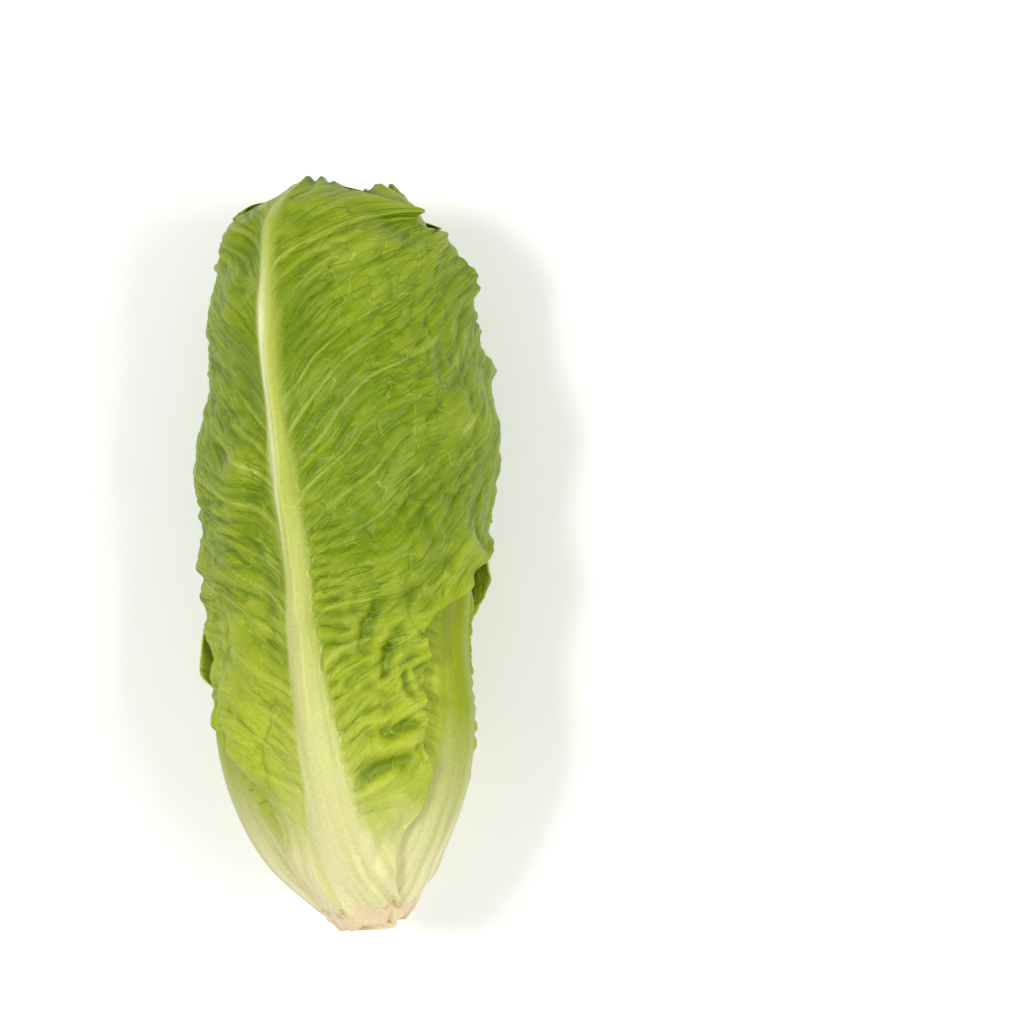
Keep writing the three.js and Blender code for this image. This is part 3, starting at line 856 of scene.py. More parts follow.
    def rib(self) -> Array:
        """The midrib's height: a rounded crest with shoulders, fine bands along it, and ridges and dents low
        down.

        Returns:
            The height in millimetres.
        """
        u, s, across, seed = self.form.u, self.form.station, self.form.across, self.seed
        q = np.clip(np.abs(self.from_line) / self.half, 0, 1)
        crest = np.clip(1 - q * q, 0, 1) ** mix(1.25, 0.9, smooth(0.1, 0.35, u))
        drift = 0.9 * noise(s / 26, self.hand, seed + 15)
        bands = np.cos(np.pi * self.from_line / (0.42 * self.half) + drift)
        ridges = np.cos(2 * np.pi * across / 6.4 + 2.6 * noise(s / 16, across / 8, seed + 17))
        dents = noise(s / 12, across / 5.0, seed + 16)
        height = self.plan.rib_height(u) * (0.24 * np.exp(-self.x / 1.7) + 0.76 * crest)
        foot = (self.heights.ridges * ridges + self.heights.dents * dents) * smooth(0.26, 0.06, u)
        rough = self.heights.bands * bands * crest + foot
        return height + self.plan.rib * rough

    def rib_masks(self) -> Patterns:
        """Where the blade pales into the rib, and the front leaf's painted highlight along the left edge of
        its rib, e^-(d/w)^2.

        Returns:
            "pale"; "flank", painted shade on the rib's right side; and "lip", the front rib's
            painted highlight; each from 0 to 1.
        """
        s, x, hand, seed = self.form.station, self.x, self.hand, self.seed
        beyond = np.abs(self.from_line) - self.half + 0.5 * noise(s / 12, self.from_line / 1.1, seed + 25)
        soft_edge = smooth(2.8, -0.9, beyond)
        lip = np.zeros_like(beyond)
        # The front leaf's rib gets a painted highlight along its left edge.
        if self.plan.front:
            soft_edge = np.where(self.left, smooth(1.5, -0.5, beyond), soft_edge)
            width = mix(0.55, 1.0, smooth(98.0, 114.0, s))
            lip = np.exp(-(((self.from_line + self.half - 0.4) / width) ** 2))
            lip = lip * smooth(82.0, 106.0, s) * smooth(172.0, 142.0, s)
        base_at = s + 5 * noise(s / 9 + hand, x / 6, seed + 8) + 0.35 * x * smooth(30.0, 12.0, s)
        pale = np.maximum(soft_edge, smooth(38.0, 13.0, base_at + 1.2 * self.strength))
        pale = np.clip(pale + 0.3 * smooth(64.0, 24.0, s) * smooth(14.0, 0.0, x), 0, 1)
        # Painted shade on the rib's right side, away from the light.
        flank = smooth(-0.3, 0.8, self.from_line / self.half) * smooth(14.0, 50.0, s)
        return {"pale": pale, "flank": flank, "lip": lip}

    def blade_masks(self, p: Patterns) -> Patterns:
        """Where the blade shows its veins, creases, pleats and thin margin. The finishes paint shade along
        the creases and in the deep folds.

        Args:
            p: The patterns.

        Returns:
            "vein", "crease", "finger" and "thin", each from 0 to 1.
        """
        s, x, hand, seed, free = self.form.station, self.x, self.hand, self.seed, 1 - 0.8 * p["fingers"]
        lines = np.maximum(0.7 * p["long_crease"], 0.5 * p["short_crease"]) * smooth(2.0, 6.0, x) * free
        grooves = 0.8 * p["groove"] * smooth(1.0, 5.0, x) * free
        lines = np.maximum(lines, np.maximum(0.6 * p["round_crease"] * p["outer"], grooves))
        lines = np.clip(lines * (0.75 + 0.5 * noise(s / 6, x / 6 + hand, seed + 20)), 0, 1) * self.leafy
        # Lightens the blade towards its thin margin: partly the thin tissue's own paleness, partly painted
        # light.
        thin = smooth(26.0, 2.0, self.edge + 3.0 * noise(s / 9 + hand, x / 9, seed + 29))
        return {
            "vein": np.clip(0.7 * p["vein"] + 0.2 * p["twig"], 0, 1) * self.leafy,
            # Painted shade along the pillows' creases and grooves, and in the front leaf's deep folds.
            "crease": np.maximum(lines, 0.8 * np.clip(p["sunk"] / 2.0, 0, 1) ** 1.5),
            "finger": p["fingers"] * smooth(-0.5, 0.5, x),
            "thin": thin * smooth(0.1, 0.3, self.form.u),
        }

    def build(self) -> Relief:
        """Puts the leaf's relief together.

        Returns:
            Its heights, masks and maps.
        """
        p = self.veins() | self.pleats() | self.swellings()
        along_pleats = np.stack([PLEAT_SPACING * p["pleat_at"], p["begun"]], axis=-1)
        maps = {"veins": np.stack([self.start, self.x], axis=-1) * MM, "pleats": along_pleats * MM}
        masks = self.rib_masks() | self.blade_masks(p)
        return Relief(self.plan.relief * self.blade(p), self.rib(), masks, maps)


@dataclass
class LeafMesh:
    """A leaf's closed sheet: an outer face, an inner face half as fine, and the rim between them."""

    points: Array
    quads: Array
    triangles: Array
    uv: dict[str, Array]
    masks: dict[str, Array]


def grid_quads(numbers: Array, outward: bool) -> Array:
    """The four-sided faces of a grid of vertex numbers.

    Args:
        numbers: Vertex numbers, rows by columns.
        outward: True where the face looks away from the axis.

    Returns:
        Four vertex numbers a face.
    """
    a, b, c, d = numbers[:-1, :-1], numbers[:-1, 1:], numbers[1:, 1:], numbers[1:, :-1]
    order = (a, b, c, d) if outward else (a, d, c, b)
    return np.stack(order, axis=-1).reshape(-1, 4)


def window_mean(grid: Array, reach: int) -> Array:
    """The mean over a square window round each point, with the grid's edges held on.

    Args:
        grid: The values.
        reach: How many cells the window reaches each way.

    Returns:
        The means, of the grid's shape.
    """
    for axis in (0, 1):
        width = [(reach, reach) if axis == a else (0, 0) for a in (0, 1)]
        padded = np.pad(grid, width, mode="edge")
        grid = np.lib.stride_tricks.sliding_window_view(padded, 2 * reach + 1, axis).mean(axis=-1)
    return grid


def cavity(height: Array) -> Array:
    """How far a surface stands out of what is around it: 0 in a crease, 0.5 where even and 1 on a crest.

    It is the height less its mean over 9 and over 25 cells, with 0.9 mm and 2.2 mm taken as full.

    Args:
        height: The surface's height in millimetres.

    Returns:
        Values from 0 to 1.
    """
    near = (height - window_mean(height, 4)) / 0.9
    wide = (height - window_mean(height, 12)) / 2.2
    return np.clip(0.5 + 0.5 * (0.6 * near + 0.6 * wide), 0, 1)


def spread_push(push: Array, reach: int = 4) -> Array:
    """Spreads a push so that it rises and falls softly and is nowhere less than it was.

    The largest push within reach cells each way is taken, and then its mean over the same window.

    Args:
        push: Push at each grid point.
        reach: Cells each way.

    Returns:
        The softened push.
    """
    most = push
    for axis in (0, 1):
        width = [(reach, reach) if axis == a else (0, 0) for a in (0, 1)]
        padded = np.pad(most, width, mode="edge")
        most = np.lib.stride_tricks.sliding_window_view(padded, 2 * reach + 1, axis).max(axis=-1)
    return np.maximum(window_mean(most, reach), push)


def boundary(numbers: Array) -> Array:
    """Vertex numbers around a grid: along the foot, up the right, back along the tip, down the left."""
    return np.concatenate([numbers[0, :-1], numbers[:-1, -1], numbers[-1, :0:-1], numbers[:0:-1, 0]])


def sheet_mesh(outer: Array, inner: Array, uv: dict[str, Array], masks: dict[str, Array]) -> LeafMesh:
    """Closes two faces into one sheet, with a rim of triangles between their edges.

    Args:
        outer: Points of the outer face, rows by columns, with an even number of cells each way.
        inner: Points of the inner face on the same grid; every second one is used.
        uv: Places on the leaf in metres, for the same grid, by the name of their map.
        masks: Colour masks on the same grid.

    Returns:
        The sheet.
    """
    rows, cols = outer.shape[:2]
    half = inner[::2, ::2]
    top = np.arange(rows * cols).reshape(rows, cols)
    under = rows * cols + np.arange(half.shape[0] * half.shape[1]).reshape(half.shape[:2])
    ring, inner_ring = boundary(top), boundary(under)
    a0, a1, a2 = ring[0::2], ring[1::2], np.roll(ring, -2)[0::2]
    c, d = inner_ring, np.roll(inner_ring, -1)
    rim = np.concatenate([np.stack(t, -1) for t in ((a0, c, a1), (a1, c, d), (a1, d, a2))])
    return LeafMesh(
        points=np.concatenate([outer.reshape(-1, 3), half.reshape(-1, 3)]),
        quads=np.concatenate([grid_quads(top, True), grid_quads(under, False)]),
        triangles=rim,
        uv={k: np.concatenate([m.reshape(-1, 2), m[::2, ::2].reshape(-1, 2)]) for k, m in uv.items()},
        masks={k: np.concatenate([m.ravel(), m[::2, ::2].ravel()]) for k, m in masks.items()},
    )


def grow_leaf(plan: LeafPlan, coarse_ground: Ground, fine_ground: Ground) -> LeafMesh:
    """Lays a leaf on what lies inside it and works out its fine surface.

    The coarse sheet is pressed out as in the part's source. Its lift is carried to a fine grid with cubic
    B-splines, the relief is added, and the fine inner face is kept clear of the fine ground. Low down, the
    margins settle onto what lies under them, and the foot thickens inwards to meet the stem.

    Args:
        plan: The leaf.
        coarse_ground: Raster of the coarse leaves inside it, raised here.
        fine_ground: Raster of the fine leaves inside it, raised here.

    Returns:
        The closed sheet.
    """
    coarse, places = plan.coarse_sheet()
    alone = coarse.radius.copy()
    press_out(coarse, coarse_ground, plan)
    azimuth, station, radius, _ = cell_samples(coarse, 1)
    coarse_ground.raise_to(azimuth, station, radius)

    fine = plan.fine_sheet()
    row_angle = np.arcsin(np.clip(fine.u[:, 0], 0, 1) * math.sin(FORM.row_spread))
    row_at = row_angle / FORM.row_spread * plan.rows
    lift = spline_rows(coarse.radius - alone, row_at)
    lift = spline_rows(lift.T, plan.coarse_columns_at(fine, places).T).T

    relief = LeafRelief(plan, fine).build()
    middle = fine.radius + lift + relief.blade
    edge = fine.full - np.abs(fine.across)
    thin = 0.45 * smooth(3.0, 0.0, edge) * smooth(0.1, 0.25, fine.u)
    outer = middle + (1 - thin) * fine.outward + relief.rib
    inner = middle - (1 - thin) * fine.inward - 0.2 * relief.rib
    rest = fine_ground.at(fine.azimuth, fine.station) + FORM.fine_gap
    push = spread_push(np.maximum(rest - inner, 0.0))
    inner, outer = inner + push, outer + push
    clear = np.clip(inner - rest, 0.0, FORM.settling)
    fall = smooth(9.0, 0.0, edge) * smooth(46.0, 26.0, fine.station) * window_mean(clear, 5)
    fall = np.minimum(fall, clear)
    inner, outer = inner - fall, outer - fall
    inner = inner - 0.85 * (clear - fall) * smooth(5.0, 1.0, fine.station)
    limit = FORM.plane_radius(fine.azimuth, plan.floor)
    outer = np.where(outer > limit - 0.6 * plan.sag, limit, outer)
    inner = np.minimum(inner, outer - FORM.least_thickness)
    fine_ground.raise_to(*(twice_as_fine(g) for g in (fine.azimuth, fine.station, outer)))

    uv = {"leaf": np.stack([fine.across, fine.station], axis=-1) * MM} | relief.maps
    # The level mask paints shade into creases and light onto crests in the leaf finishes.
    masks = relief.masks | {"level": cavity(outer), "rise": fine.u}
    uneven = 1.1 * noise(fine.azimuth / 17, fine.station / 3, plan.seed)
    masks["cut"] = smooth(9.5, 0.8, fine.station + uneven)
    station = slanted(fine.azimuth, fine.station, plan.seed)
    outer_points = FORM.place(fine.azimuth, station, outer) * MM
    return sheet_mesh(outer_points, FORM.place(fine.azimuth, station, inner) * MM, uv, masks)


def twice_as_fine(grid: Array) -> Array:
    """Puts the middles of a grid's cells and of their sides in between its points.

    Args:
        grid: The values.

    Returns:
        The grid, with twice as many cells each way.
    """
    fine = np.empty((2 * grid.shape[0] - 1, 2 * grid.shape[1] - 1))
    fine[::2, ::2] = grid
    fine[1::2, ::2] = (grid[:-1] + grid[1:]) / 2
    fine[:, 1::2] = (fine[:, :-2:2] + fine[:, 2::2]) / 2
    return fine


def slanted(azimuth: Array, station: Array, seed: int) -> Array:
    """Slants the cut end and makes it ragged.

    Stations rise by 1.3 + 1.3 sin a mm, so that the cut climbs by up to 2.6 mm towards +X, and by 0.7 mm of
    noise, both fading out over the first 14 mm.

    Args:
        azimuth: Angles a of the points, in degrees.
        station: Their stations.
        seed: Chooses the noise.

    Returns:
        The changed stations.
    """
    a = np.radians(azimuth)
    rise = 1.3 + 1.3 * np.sin(a) + 0.7 * noise(azimuth / 7.0, azimuth * 0 + seed, 77)
    return station + np.maximum(rise, 0.0) * smooth(14.0, 0.0, station)


# ------------------------------------------------------------------ materials

Socket = bpy.types.NodeSocket
Sockets = dict[str, Socket]
Input = Union[Socket, float, tuple[float, ...]]
NodeAdder = Callable[..., Socket]

# Kinds of node that come often, and settings that many nodes share. A mix of colours takes the two colours
# at its inputs 6 and 7.
MATH, RANGE, MIX, NOISE = "ShaderNodeMath", "ShaderNodeMapRange", "ShaderNodeMix", "ShaderNodeTexNoise"
TIMES, LESS, LARGER = {"operation": "MULTIPLY"}, {"operation": "SUBTRACT"}, {"operation": "MAXIMUM"}
TIMES_PLUS, NO_SIGN = {"operation": "MULTIPLY_ADD"}, {"operation": "ABSOLUTE"}
COLOURS, FLAT = {"data_type": "RGBA"}, {"noise_dimensions": "2D"}
CELL_EDGES = {"feature": "DISTANCE_TO_EDGE", "voronoi_dimensions": "2D"}


def linear(code: str) -> tuple[float, float, float, float]:
    """An sRGB hex colour as linear light: v / 12.92 up to 0.04045, and ((v + 0.055) / 1.055)^2.4 above.

    Args:
        code: The colour, with its #.

    Returns:
        Red, green, blue and alpha.
    """
    values = [int(code[i : i + 2], 16) / 255.0 for i in (1, 3, 5)]
    r, g, b = (v / 12.92 if v <= 0.04045 else ((v + 0.055) / 1.055) ** 2.4 for v in values)
    return (r, g, b, 1.0)


def repeats(size: float) -> float:
    """How often a pattern with a size in millimetres repeats in a metre."""
    return 1.0 / (size * MM)


def add_node(
    tree: bpy.types.NodeTree,
    kind: str,
    *inputs: Input,
    setup: dict[str, object] | None = None,
    give: str | None = None,
    **named: Input,
) -> Socket | None:
    """Adds a node with its settings and inputs.

    Args:
        tree: The material's node tree.
        kind: The node's type name.
        *inputs: Its first inputs in order, each a socket to link from or a value.
        setup: Properties of the node itself.
        give: The output wanted, where it isn't the first in use.
        **named: More inputs, by name with underscores for spaces, or by number as in_N.

    Returns:
        The output, or None for a node that has none.
    """
    node = tree.nodes.new(kind)
    for key, value in (setup or {}).items():
        setattr(node, key, value)
    pairs = list(zip(node.inputs, inputs))
    for key, value in named.items():
        place = int(key.removeprefix("in_")) if key.startswith("in_") else key.replace("_", " ")
        pairs.append((node.inputs[place], value))
    for socket, value in pairs:
        if isinstance(value, Socket):
            tree.links.new(value, socket)
        else:
            socket.default_value = value
    return node.outputs[give] if give else next((s for s in node.outputs if s.enabled), None)


def new_material(name: str) -> tuple[bpy.types.Material, NodeAdder]:
    """A material with no nodes yet.

    Args:
        name: Its name.

    Returns:
        The material, and add_node for its tree.
    """
    material = bpy.data.materials.new(name)
    material.use_nodes = True
    material.node_tree.nodes.clear()
    return material, partial(add_node, material.node_tree)


def lay(node: NodeAdder, under: Input, layers: Sequence[tuple[str, Socket, float, float, float]]) -> Socket:
    """Lays colours over one another.

    Args:
        node: Adds a node to the material.
        under: The lowest colour.
        layers: For each colour its sRGB hex, its pattern, the pattern's values where the colour starts and
            where it is strongest, and its share there.

    Returns:
        The mixed colour.
    """
    for shade, pattern, none, full, most in layers:
        share = node(RANGE, pattern, none, full, 0.0, most)
        under = node(MIX, share, setup=COLOURS, in_6=under, in_7=linear(shade))
    return under


def contour(node: NodeAdder, pattern: Socket, width: float) -> Socket:
    """Thin lines where a noise passes its middle: 1 - |noise - 0.5| / width, held at 0.

    Args:
        node: Adds a node to the material.
        pattern: The noise.
        width: How far from its middle a line fades out.

    Returns:
        The lines.
    """
    off = node(MATH, node(MATH, pattern, 0.5, setup=LESS), setup=NO_SIGN)
    return node(RANGE, off, 0.0, width, 1.0, 0.0)


# Maps drawn out along the side veins or the rib: the map that each is made from, and its scale along them.
LEAF_MAPS = {
    "veins_2": ("veins", 0.42),
    "veins_5": ("veins", 0.22),
    "veins_8": ("veins", 0.13),
    "rib": ("leaf", 0.045),
}

# Noise on a leaf: the map that each lies on, its size in millimetres and its octaves. A skin cell is some
# 0.05 mm wide, too fine to show, so the speckle is drawn coarser.
LEAF_NOISE = {
    "broad": ("leaf", 38.5, 1.0),
    "patches": ("leaf", 14.3, 4.0),
    "grains": ("leaf", 4.35, 4.0),
    "grain_patches": ("leaf", 11.1, 1.0),
    "speckle": ("leaf", 0.909, 2.0),
    "streaks": ("veins_5", 3.03, 3.0),
    "ripples": ("veins_2", 1.786, 2.0),
    "fibres": ("rib", 1.111, 2.0),
    "bands": ("rib", 3.03, 2.0),
    "strokes": ("veins_8", 4.348, 2.0),
    "stroke_patches": ("leaf", 8.33, 1.0),
    "short_strokes": ("veins_8", 2.941, 2.0),
    "short_stroke_patches": ("leaf", 10.53, 1.0),
    "vein_ends": ("veins_5", 6.67, 2.0),
    "net_patches": ("leaf", 6.67, 1.0),
    "crinkle_patches": ("leaf", 6.25, 1.0),
    "fold_patches": ("leaf", 3.85, 1.0),
    "cut_edge": ("leaf", 2.38, 3.0),
    "cut_spots": ("leaf", 4.17, 2.0),
}


@dataclass(frozen=True)
class LeafSkin:
    """Fresh lettuce leaf: a thin waxy skin over wet green tissue, smooth and softly glossy, paler where veins
    and rib show through. Water-filled tissue has an IOR near 1.4."""

    name: str
    deep: str
    mid: str
    light: str
    vein: str
    rib_low: str
    rib_high: str
    rib_fade: float = 0.6
    # Colour of the painted highlight along the front rib's left edge.
    rib_highlight_colour: str = "#F1F2CA"
    cut: str = "#E0C9A2"
    browned: str = "#A37443"
    ior: float = 1.4
    roughness: float = 0.36
    shine: float = 0.25
    # Strength of the dark strokes, painted shade in fine creases along the side veins.
    strokes: float = 1.0
    stir_size: float = 5.26
    net_size: float = 8.33
    net_stir: float = 3.5
    crinkle_size: float = 3.45
    crinkle_stir: float = 2.6
    pleat_spacing: float = PLEAT_SPACING
    bump_height: float = 0.14

    def places(self, node: NodeAdder) -> Sockets:
        """The maps that the patterns lie on, in metres. The last two are pushed about by noise.

        Args:
            node: Adds a node to the material.

        Returns:
            The maps by name.
        """
        at = {key: node("ShaderNodeUVMap", setup={"uv_map": key}) for key in ("leaf", "veins", "pleats")}
        for key, (source, scale) in LEAF_MAPS.items():
            at[key] = node("ShaderNodeMapping", Vector=at[source], Scale=(1.0, scale, 1.0))
        size = repeats(self.stir_size)
        stir = node(NOISE, setup=FLAT, give="Color", Vector=at["leaf"], Scale=size, Detail=2.0)
        for key, source, push in (("net", "leaf", self.net_stir), ("crinkles", "veins_2", self.crinkle_stir)):
            at[key] = node("ShaderNodeVectorMath", stir, (push * MM,) * 3, at[source], setup=TIMES_PLUS)
        return at

    def lines(self, node: NodeAdder, at: Sockets, noise: Sockets, mask: Sockets) -> Sockets:
        """Fine lines over the blade, broken up in patches: dark strokes along the side veins, which are
        painted shade in fine creases, pale vein ends that join in a net, and crinkles, which are painted
        shade in creases high up and pale ridges low down.

        Args:
            node: Adds a node to the material.
            at: The maps.
            noise: The noise patterns.
            mask: The leaf's masks.

        Returns:
            The lines by name, and the domes between the crinkles.
        """
        rise = mask["rise"]
        # Dark strokes: painted shade in fine creases along the side veins, which the relief also sinks.
        shown = node(RANGE, noise["stroke_patches"], 0.44, 0.6)
        dark = node(MATH, contour(node, noise["strokes"], 0.02), shown, setup=TIMES)
        dark = node(MATH, dark, node(RANGE, rise, 0.15, 0.45, 0.2, 1.0), setup=TIMES)
        shown = node(RANGE, noise["short_stroke_patches"], 0.5, 0.62)
        short = node(MATH, contour(node, noise["short_strokes"], 0.026), shown, setup=TIMES)
        short = node(MATH, short, node(RANGE, rise, 0.3, 0.5), setup=TIMES)
        dark = node(MATH, dark, short, setup=LARGER)
        dark = node(MATH, node(MATH, dark, mask["green"], setup=TIMES), self.strokes, setup=TIMES)

        shown = node(RANGE, noise["patches"], 0.45, 0.65)
        ends = node(MATH, contour(node, noise["vein_ends"], 0.01), shown, setup=TIMES)
        net = node("ShaderNodeTexVoronoi", setup=CELL_EDGES, Vector=at["net"], Scale=repeats(self.net_size))
        net = node(MATH, node(RANGE, net, 0.0, 0.02, 0.6, 0.0), node(RANGE, rise, 0.2, 0.4), setup=TIMES)
        net = node(MATH, net, node(RANGE, noise["net_patches"], 0.47, 0.6), setup=TIMES)
        away = node("ShaderNodeSeparateXYZ", at["veins"], give="Y")
        pale = node(MATH, ends, net, setup=LARGER)
        pale = node(MATH, pale, node(RANGE, away, 0.006, 0.011), setup=TIMES)

        scale = repeats(self.crinkle_size)
        cells = node("ShaderNodeTexVoronoi", setup=CELL_EDGES, Vector=at["crinkles"], Scale=scale)
        shown = node(RANGE, noise["crinkle_patches"], 0.42, 0.6)
        crinkles = node(MATH, node(RANGE, cells, 0.0, 0.045, 1.0, 0.0), shown, setup=TIMES)
        crinkles = node(MATH, crinkles, mask["green"], setup=TIMES)
        # High up, the crinkles' creases take painted shade.
        creases = node(MATH, crinkles, node(RANGE, rise, 0.25, 0.5), setup=TIMES)
        ridges = node(MATH, crinkles, creases, setup=LESS)
        domes = node(MATH, node(RANGE, cells, 0.0, 0.3), mask["green"], setup=TIMES)
        return {"dark": dark, "pale": pale, "creases": creases, "ridges": ridges, "domes": domes}

    def pleats(self, node: NodeAdder, at: Sockets, noise: Sockets, mask: Sockets) -> Sockets:
        """Painted shade in the folds between the pleats beside the rib, and the pale rims of their round
        ends.

        With p the place across a pleat from -1 to 1, its end curves as 1.6 mm p^4 from the rib's edge.

        Args:
            node: Adds a node to the material.
            at: The maps.
            noise: The noise patterns.
            mask: The leaf's masks.

        Returns:
            The folds and the rims.
        """
        along = node("ShaderNodeSeparateXYZ", at["pleats"], give="X")
        out = node("ShaderNodeSeparateXYZ", at["pleats"], give="Y")
        turns = node(MATH, along, repeats(self.pleat_spacing), setup=TIMES)
        turns = node(MATH, turns, setup={"operation": "FRACT"})
        aside = node(MATH, node(MATH, turns, 2.0, -1.0, setup=TIMES_PLUS), setup=NO_SIGN)
        curve = node(MATH, aside, 4.0, setup={"operation": "POWER"})
        inside = node(MATH, curve, -0.0016, out, setup=TIMES_PLUS)
        shown = node(MATH, mask["finger"], node(RANGE, noise["fold_patches"], 0.35, 0.6), setup=TIMES)
        # Painted shade in the folds between the pleats.
        folds = node(MATH, node(RANGE, aside, 0.86, 1.0), node(RANGE, inside, -0.0006, 0.0006), setup=TIMES)
        off = node(MATH, node(MATH, inside, 0.0005, setup=LESS), setup=NO_SIGN)
        rims = node(RANGE, off, 0.0001, 0.0004, 1.0, 0.0)
        return {key: node(MATH, p, shown, setup=TIMES) for key, p in (("folds", folds), ("rims", rims))}

    def blade(self, node: NodeAdder, noise: Sockets, mask: Sockets, drawn: Sockets) -> Socket:
        """The blade's colour: painted shade in hollows, creases and folds, and painted light on crests;
        darker high up, lighter low down, and lighter at its thin margin, partly its own paleness and partly
        painted light.

        Args:
            node: Adds a node to the material.
            noise: The noise patterns.
            mask: The leaf's masks.
            drawn: The lines, folds and rims.

        Returns:
            The colour.
        """
        grains = node(RANGE, noise["grains"], 0.5, 0.6)
        grains = node(MATH, grains, node(RANGE, noise["grain_patches"], 0.45, 0.6), setup=TIMES)
        # Painted shade in the deep hollows, strongest high up the leaf.
        hollow_shade = node(RANGE, mask["level"], 0.46, 0.14)
        hollow_shade = node(MATH, hollow_shade, node(RANGE, mask["rise"], 0.15, 0.45, 0.6, 1.0), setup=TIMES)
        layers = (
            # Painted shade and light by the level mask: deep left in creases, mid on even ground, light on
            # crests.
            (self.mid, mask["level"], 0.05, 0.5, 1.0),
            (self.light, mask["level"], 0.5, 0.95, 0.85),
            (self.light, noise["patches"], 0.45, 0.75, 0.42),
            (self.light, grains, 0.0, 1.0, 0.4),
            (self.deep, noise["broad"], 0.52, 0.34, 0.35),
            (self.light, mask["rise"], 0.55, 0.16, 0.64),
            # Lighter at the thin margin, partly its own paleness and partly painted light.
            (self.light, mask["thin"], 0.0, 1.0, 0.28),
            (self.deep, mask["rise"], 0.33, 0.6, 0.44),
            (self.deep, noise["streaks"], 0.5, 0.32, 0.16),
            (self.light, noise["streaks"], 0.55, 0.72, 0.14),
            # Painted shade in the hollows.
            (self.deep, hollow_shade, 0.0, 1.0, 0.85),
            # Painted shade along the creases and in the deep folds.
            (self.deep, mask["crease"], 0.1, 1.0, 0.5),
            # Painted shade in the fine creases of the dark strokes.
            (self.deep, drawn["dark"], 0.0, 1.0, 0.9),
            # Painted shade in the crinkles' creases.
            (self.deep, drawn["creases"], 0.0, 1.0, 0.65),
            (self.vein, drawn["ridges"], 0.0, 1.0, 0.36),
            (self.vein, drawn["pale"], 0.0, 1.0, 0.42),
            (self.vein, mask["vein"], 0.0, 1.0, 0.45),
            # Painted shade in the pleats' folds.
            (self.deep, drawn["folds"], 0.0, 0.8, 0.9),
        )
        return lay(node, linear(self.deep), layers)

    def rib(self, node: NodeAdder, noise: Sockets, mask: Sockets) -> Socket:
        """The midrib's colour: pale at its foot and yellower up the leaf, with fibres and bands along it,
        painted shade on its right side and, on the front leaf, a painted highlight along its left edge.

        Args:
            node: Adds a node to the material.
            noise: The noise patterns.
            mask: The leaf's masks.

        Returns:
            The colour.
        """
        layers = (
            (self.rib_high, mask["rise"], 0.04, self.rib_fade, 1.0),
            (self.vein, noise["fibres"], 0.5, 0.72, 0.25),
            (self.rib_high, noise["bands"], 0.46, 0.66, 0.35),
            # Painted shade on the rib's right side.
            (self.rib_high, mask["flank"], 0.0, 1.0, 0.4),
            # Painted highlight along the front rib's left edge.
            (self.rib_highlight_colour, mask["lip"], 0.0, 1.0, 0.68),
        )
        return lay(node, linear(self.rib_low), layers)

    def cut_end(self, node: NodeAdder, noise: Sockets, mask: Sockets, colour: Socket) -> Socket:
        """Lays the cut end's tan over a colour, ragged where it fades out, with a browned line near its edge.

        Args:
            node: Adds a node to the material.
            noise: The noise patterns.
            mask: The leaf's masks.
            colour: What lies under it.

        Returns:
            The colour.
        """
        ragged = node(MATH, noise["cut_edge"], 1.2, mask["cut"], setup=TIMES_PLUS)
        ragged = node(MATH, ragged, node(RANGE, mask["cut"], 0.0, 0.3), setup=TIMES)
        off = node(MATH, node(MATH, ragged, 1.15, setup=LESS), setup=NO_SIGN)
        dried = node(RANGE, off, 0.0, 0.16, 1.0, 0.0)
        dried = node(MATH, dried, node(RANGE, noise["cut_spots"], 0.4, 0.6), setup=TIMES)
        return lay(node, colour, ((self.cut, ragged, 0.6, 1.5, 0.9), (self.browned, dried, 0.0, 1.0, 0.6)))

    def relief(self, node: NodeAdder, noise: Sockets, mask: Sockets, drawn: Sockets) -> Socket:
        """The fine relief: lines sunk in or raised, domes between crinkles, ripples and the rib's fibres.

        Args:
            node: Adds a node to the material.
            noise: The noise patterns.
            mask: The leaf's masks.
            drawn: The lines, folds and rims.

        Returns:
            The bumped normal.
        """
        height = node(MATH, node(MATH, noise["fibres"], mask["pale"], setup=TIMES), 0.4, setup=TIMES)
        heights = (
            (drawn["dark"], -3.0),
            (drawn["creases"], -1.8),
            (drawn["ridges"], 2.2),
            (drawn["domes"], 3.0),
            (drawn["folds"], -3.0),
            (drawn["pale"], 1.2),
            (noise["speckle"], 0.4),
            (node(MATH, noise["ripples"], mask["green"], setup=TIMES), 1.4),
        )
        for pattern, rise in heights:
            height = node(MATH, pattern, rise, height, setup=TIMES_PLUS)
        return node("ShaderNodeBump", Strength=0.5, Distance=self.bump_height * MM, Height=height)

    def build(self) -> bpy.types.Material:
        """Puts the patterns together: blade, rib over it, rims, cut end and the skin's speckle.

        Returns:
            The material.
        """
        material, node = new_material(self.name)
        keys = ("pale", "vein", "crease", "finger", "flank", "lip", "level", "rise", "cut", "thin")
        mask = {key: node("ShaderNodeAttribute", setup={"attribute_name": key}, give="Fac") for key in keys}
        mask["green"] = node(RANGE, mask["pale"], 0.1, 0.6, 1.0, 0.0)
        at = self.places(node)
        noise = {
            key: node(NOISE, setup=FLAT, Vector=at[place], Scale=repeats(size), Detail=octaves)
            for key, (place, size, octaves) in LEAF_NOISE.items()
        }
        drawn = self.lines(node, at, noise, mask) | self.pleats(node, at, noise, mask)

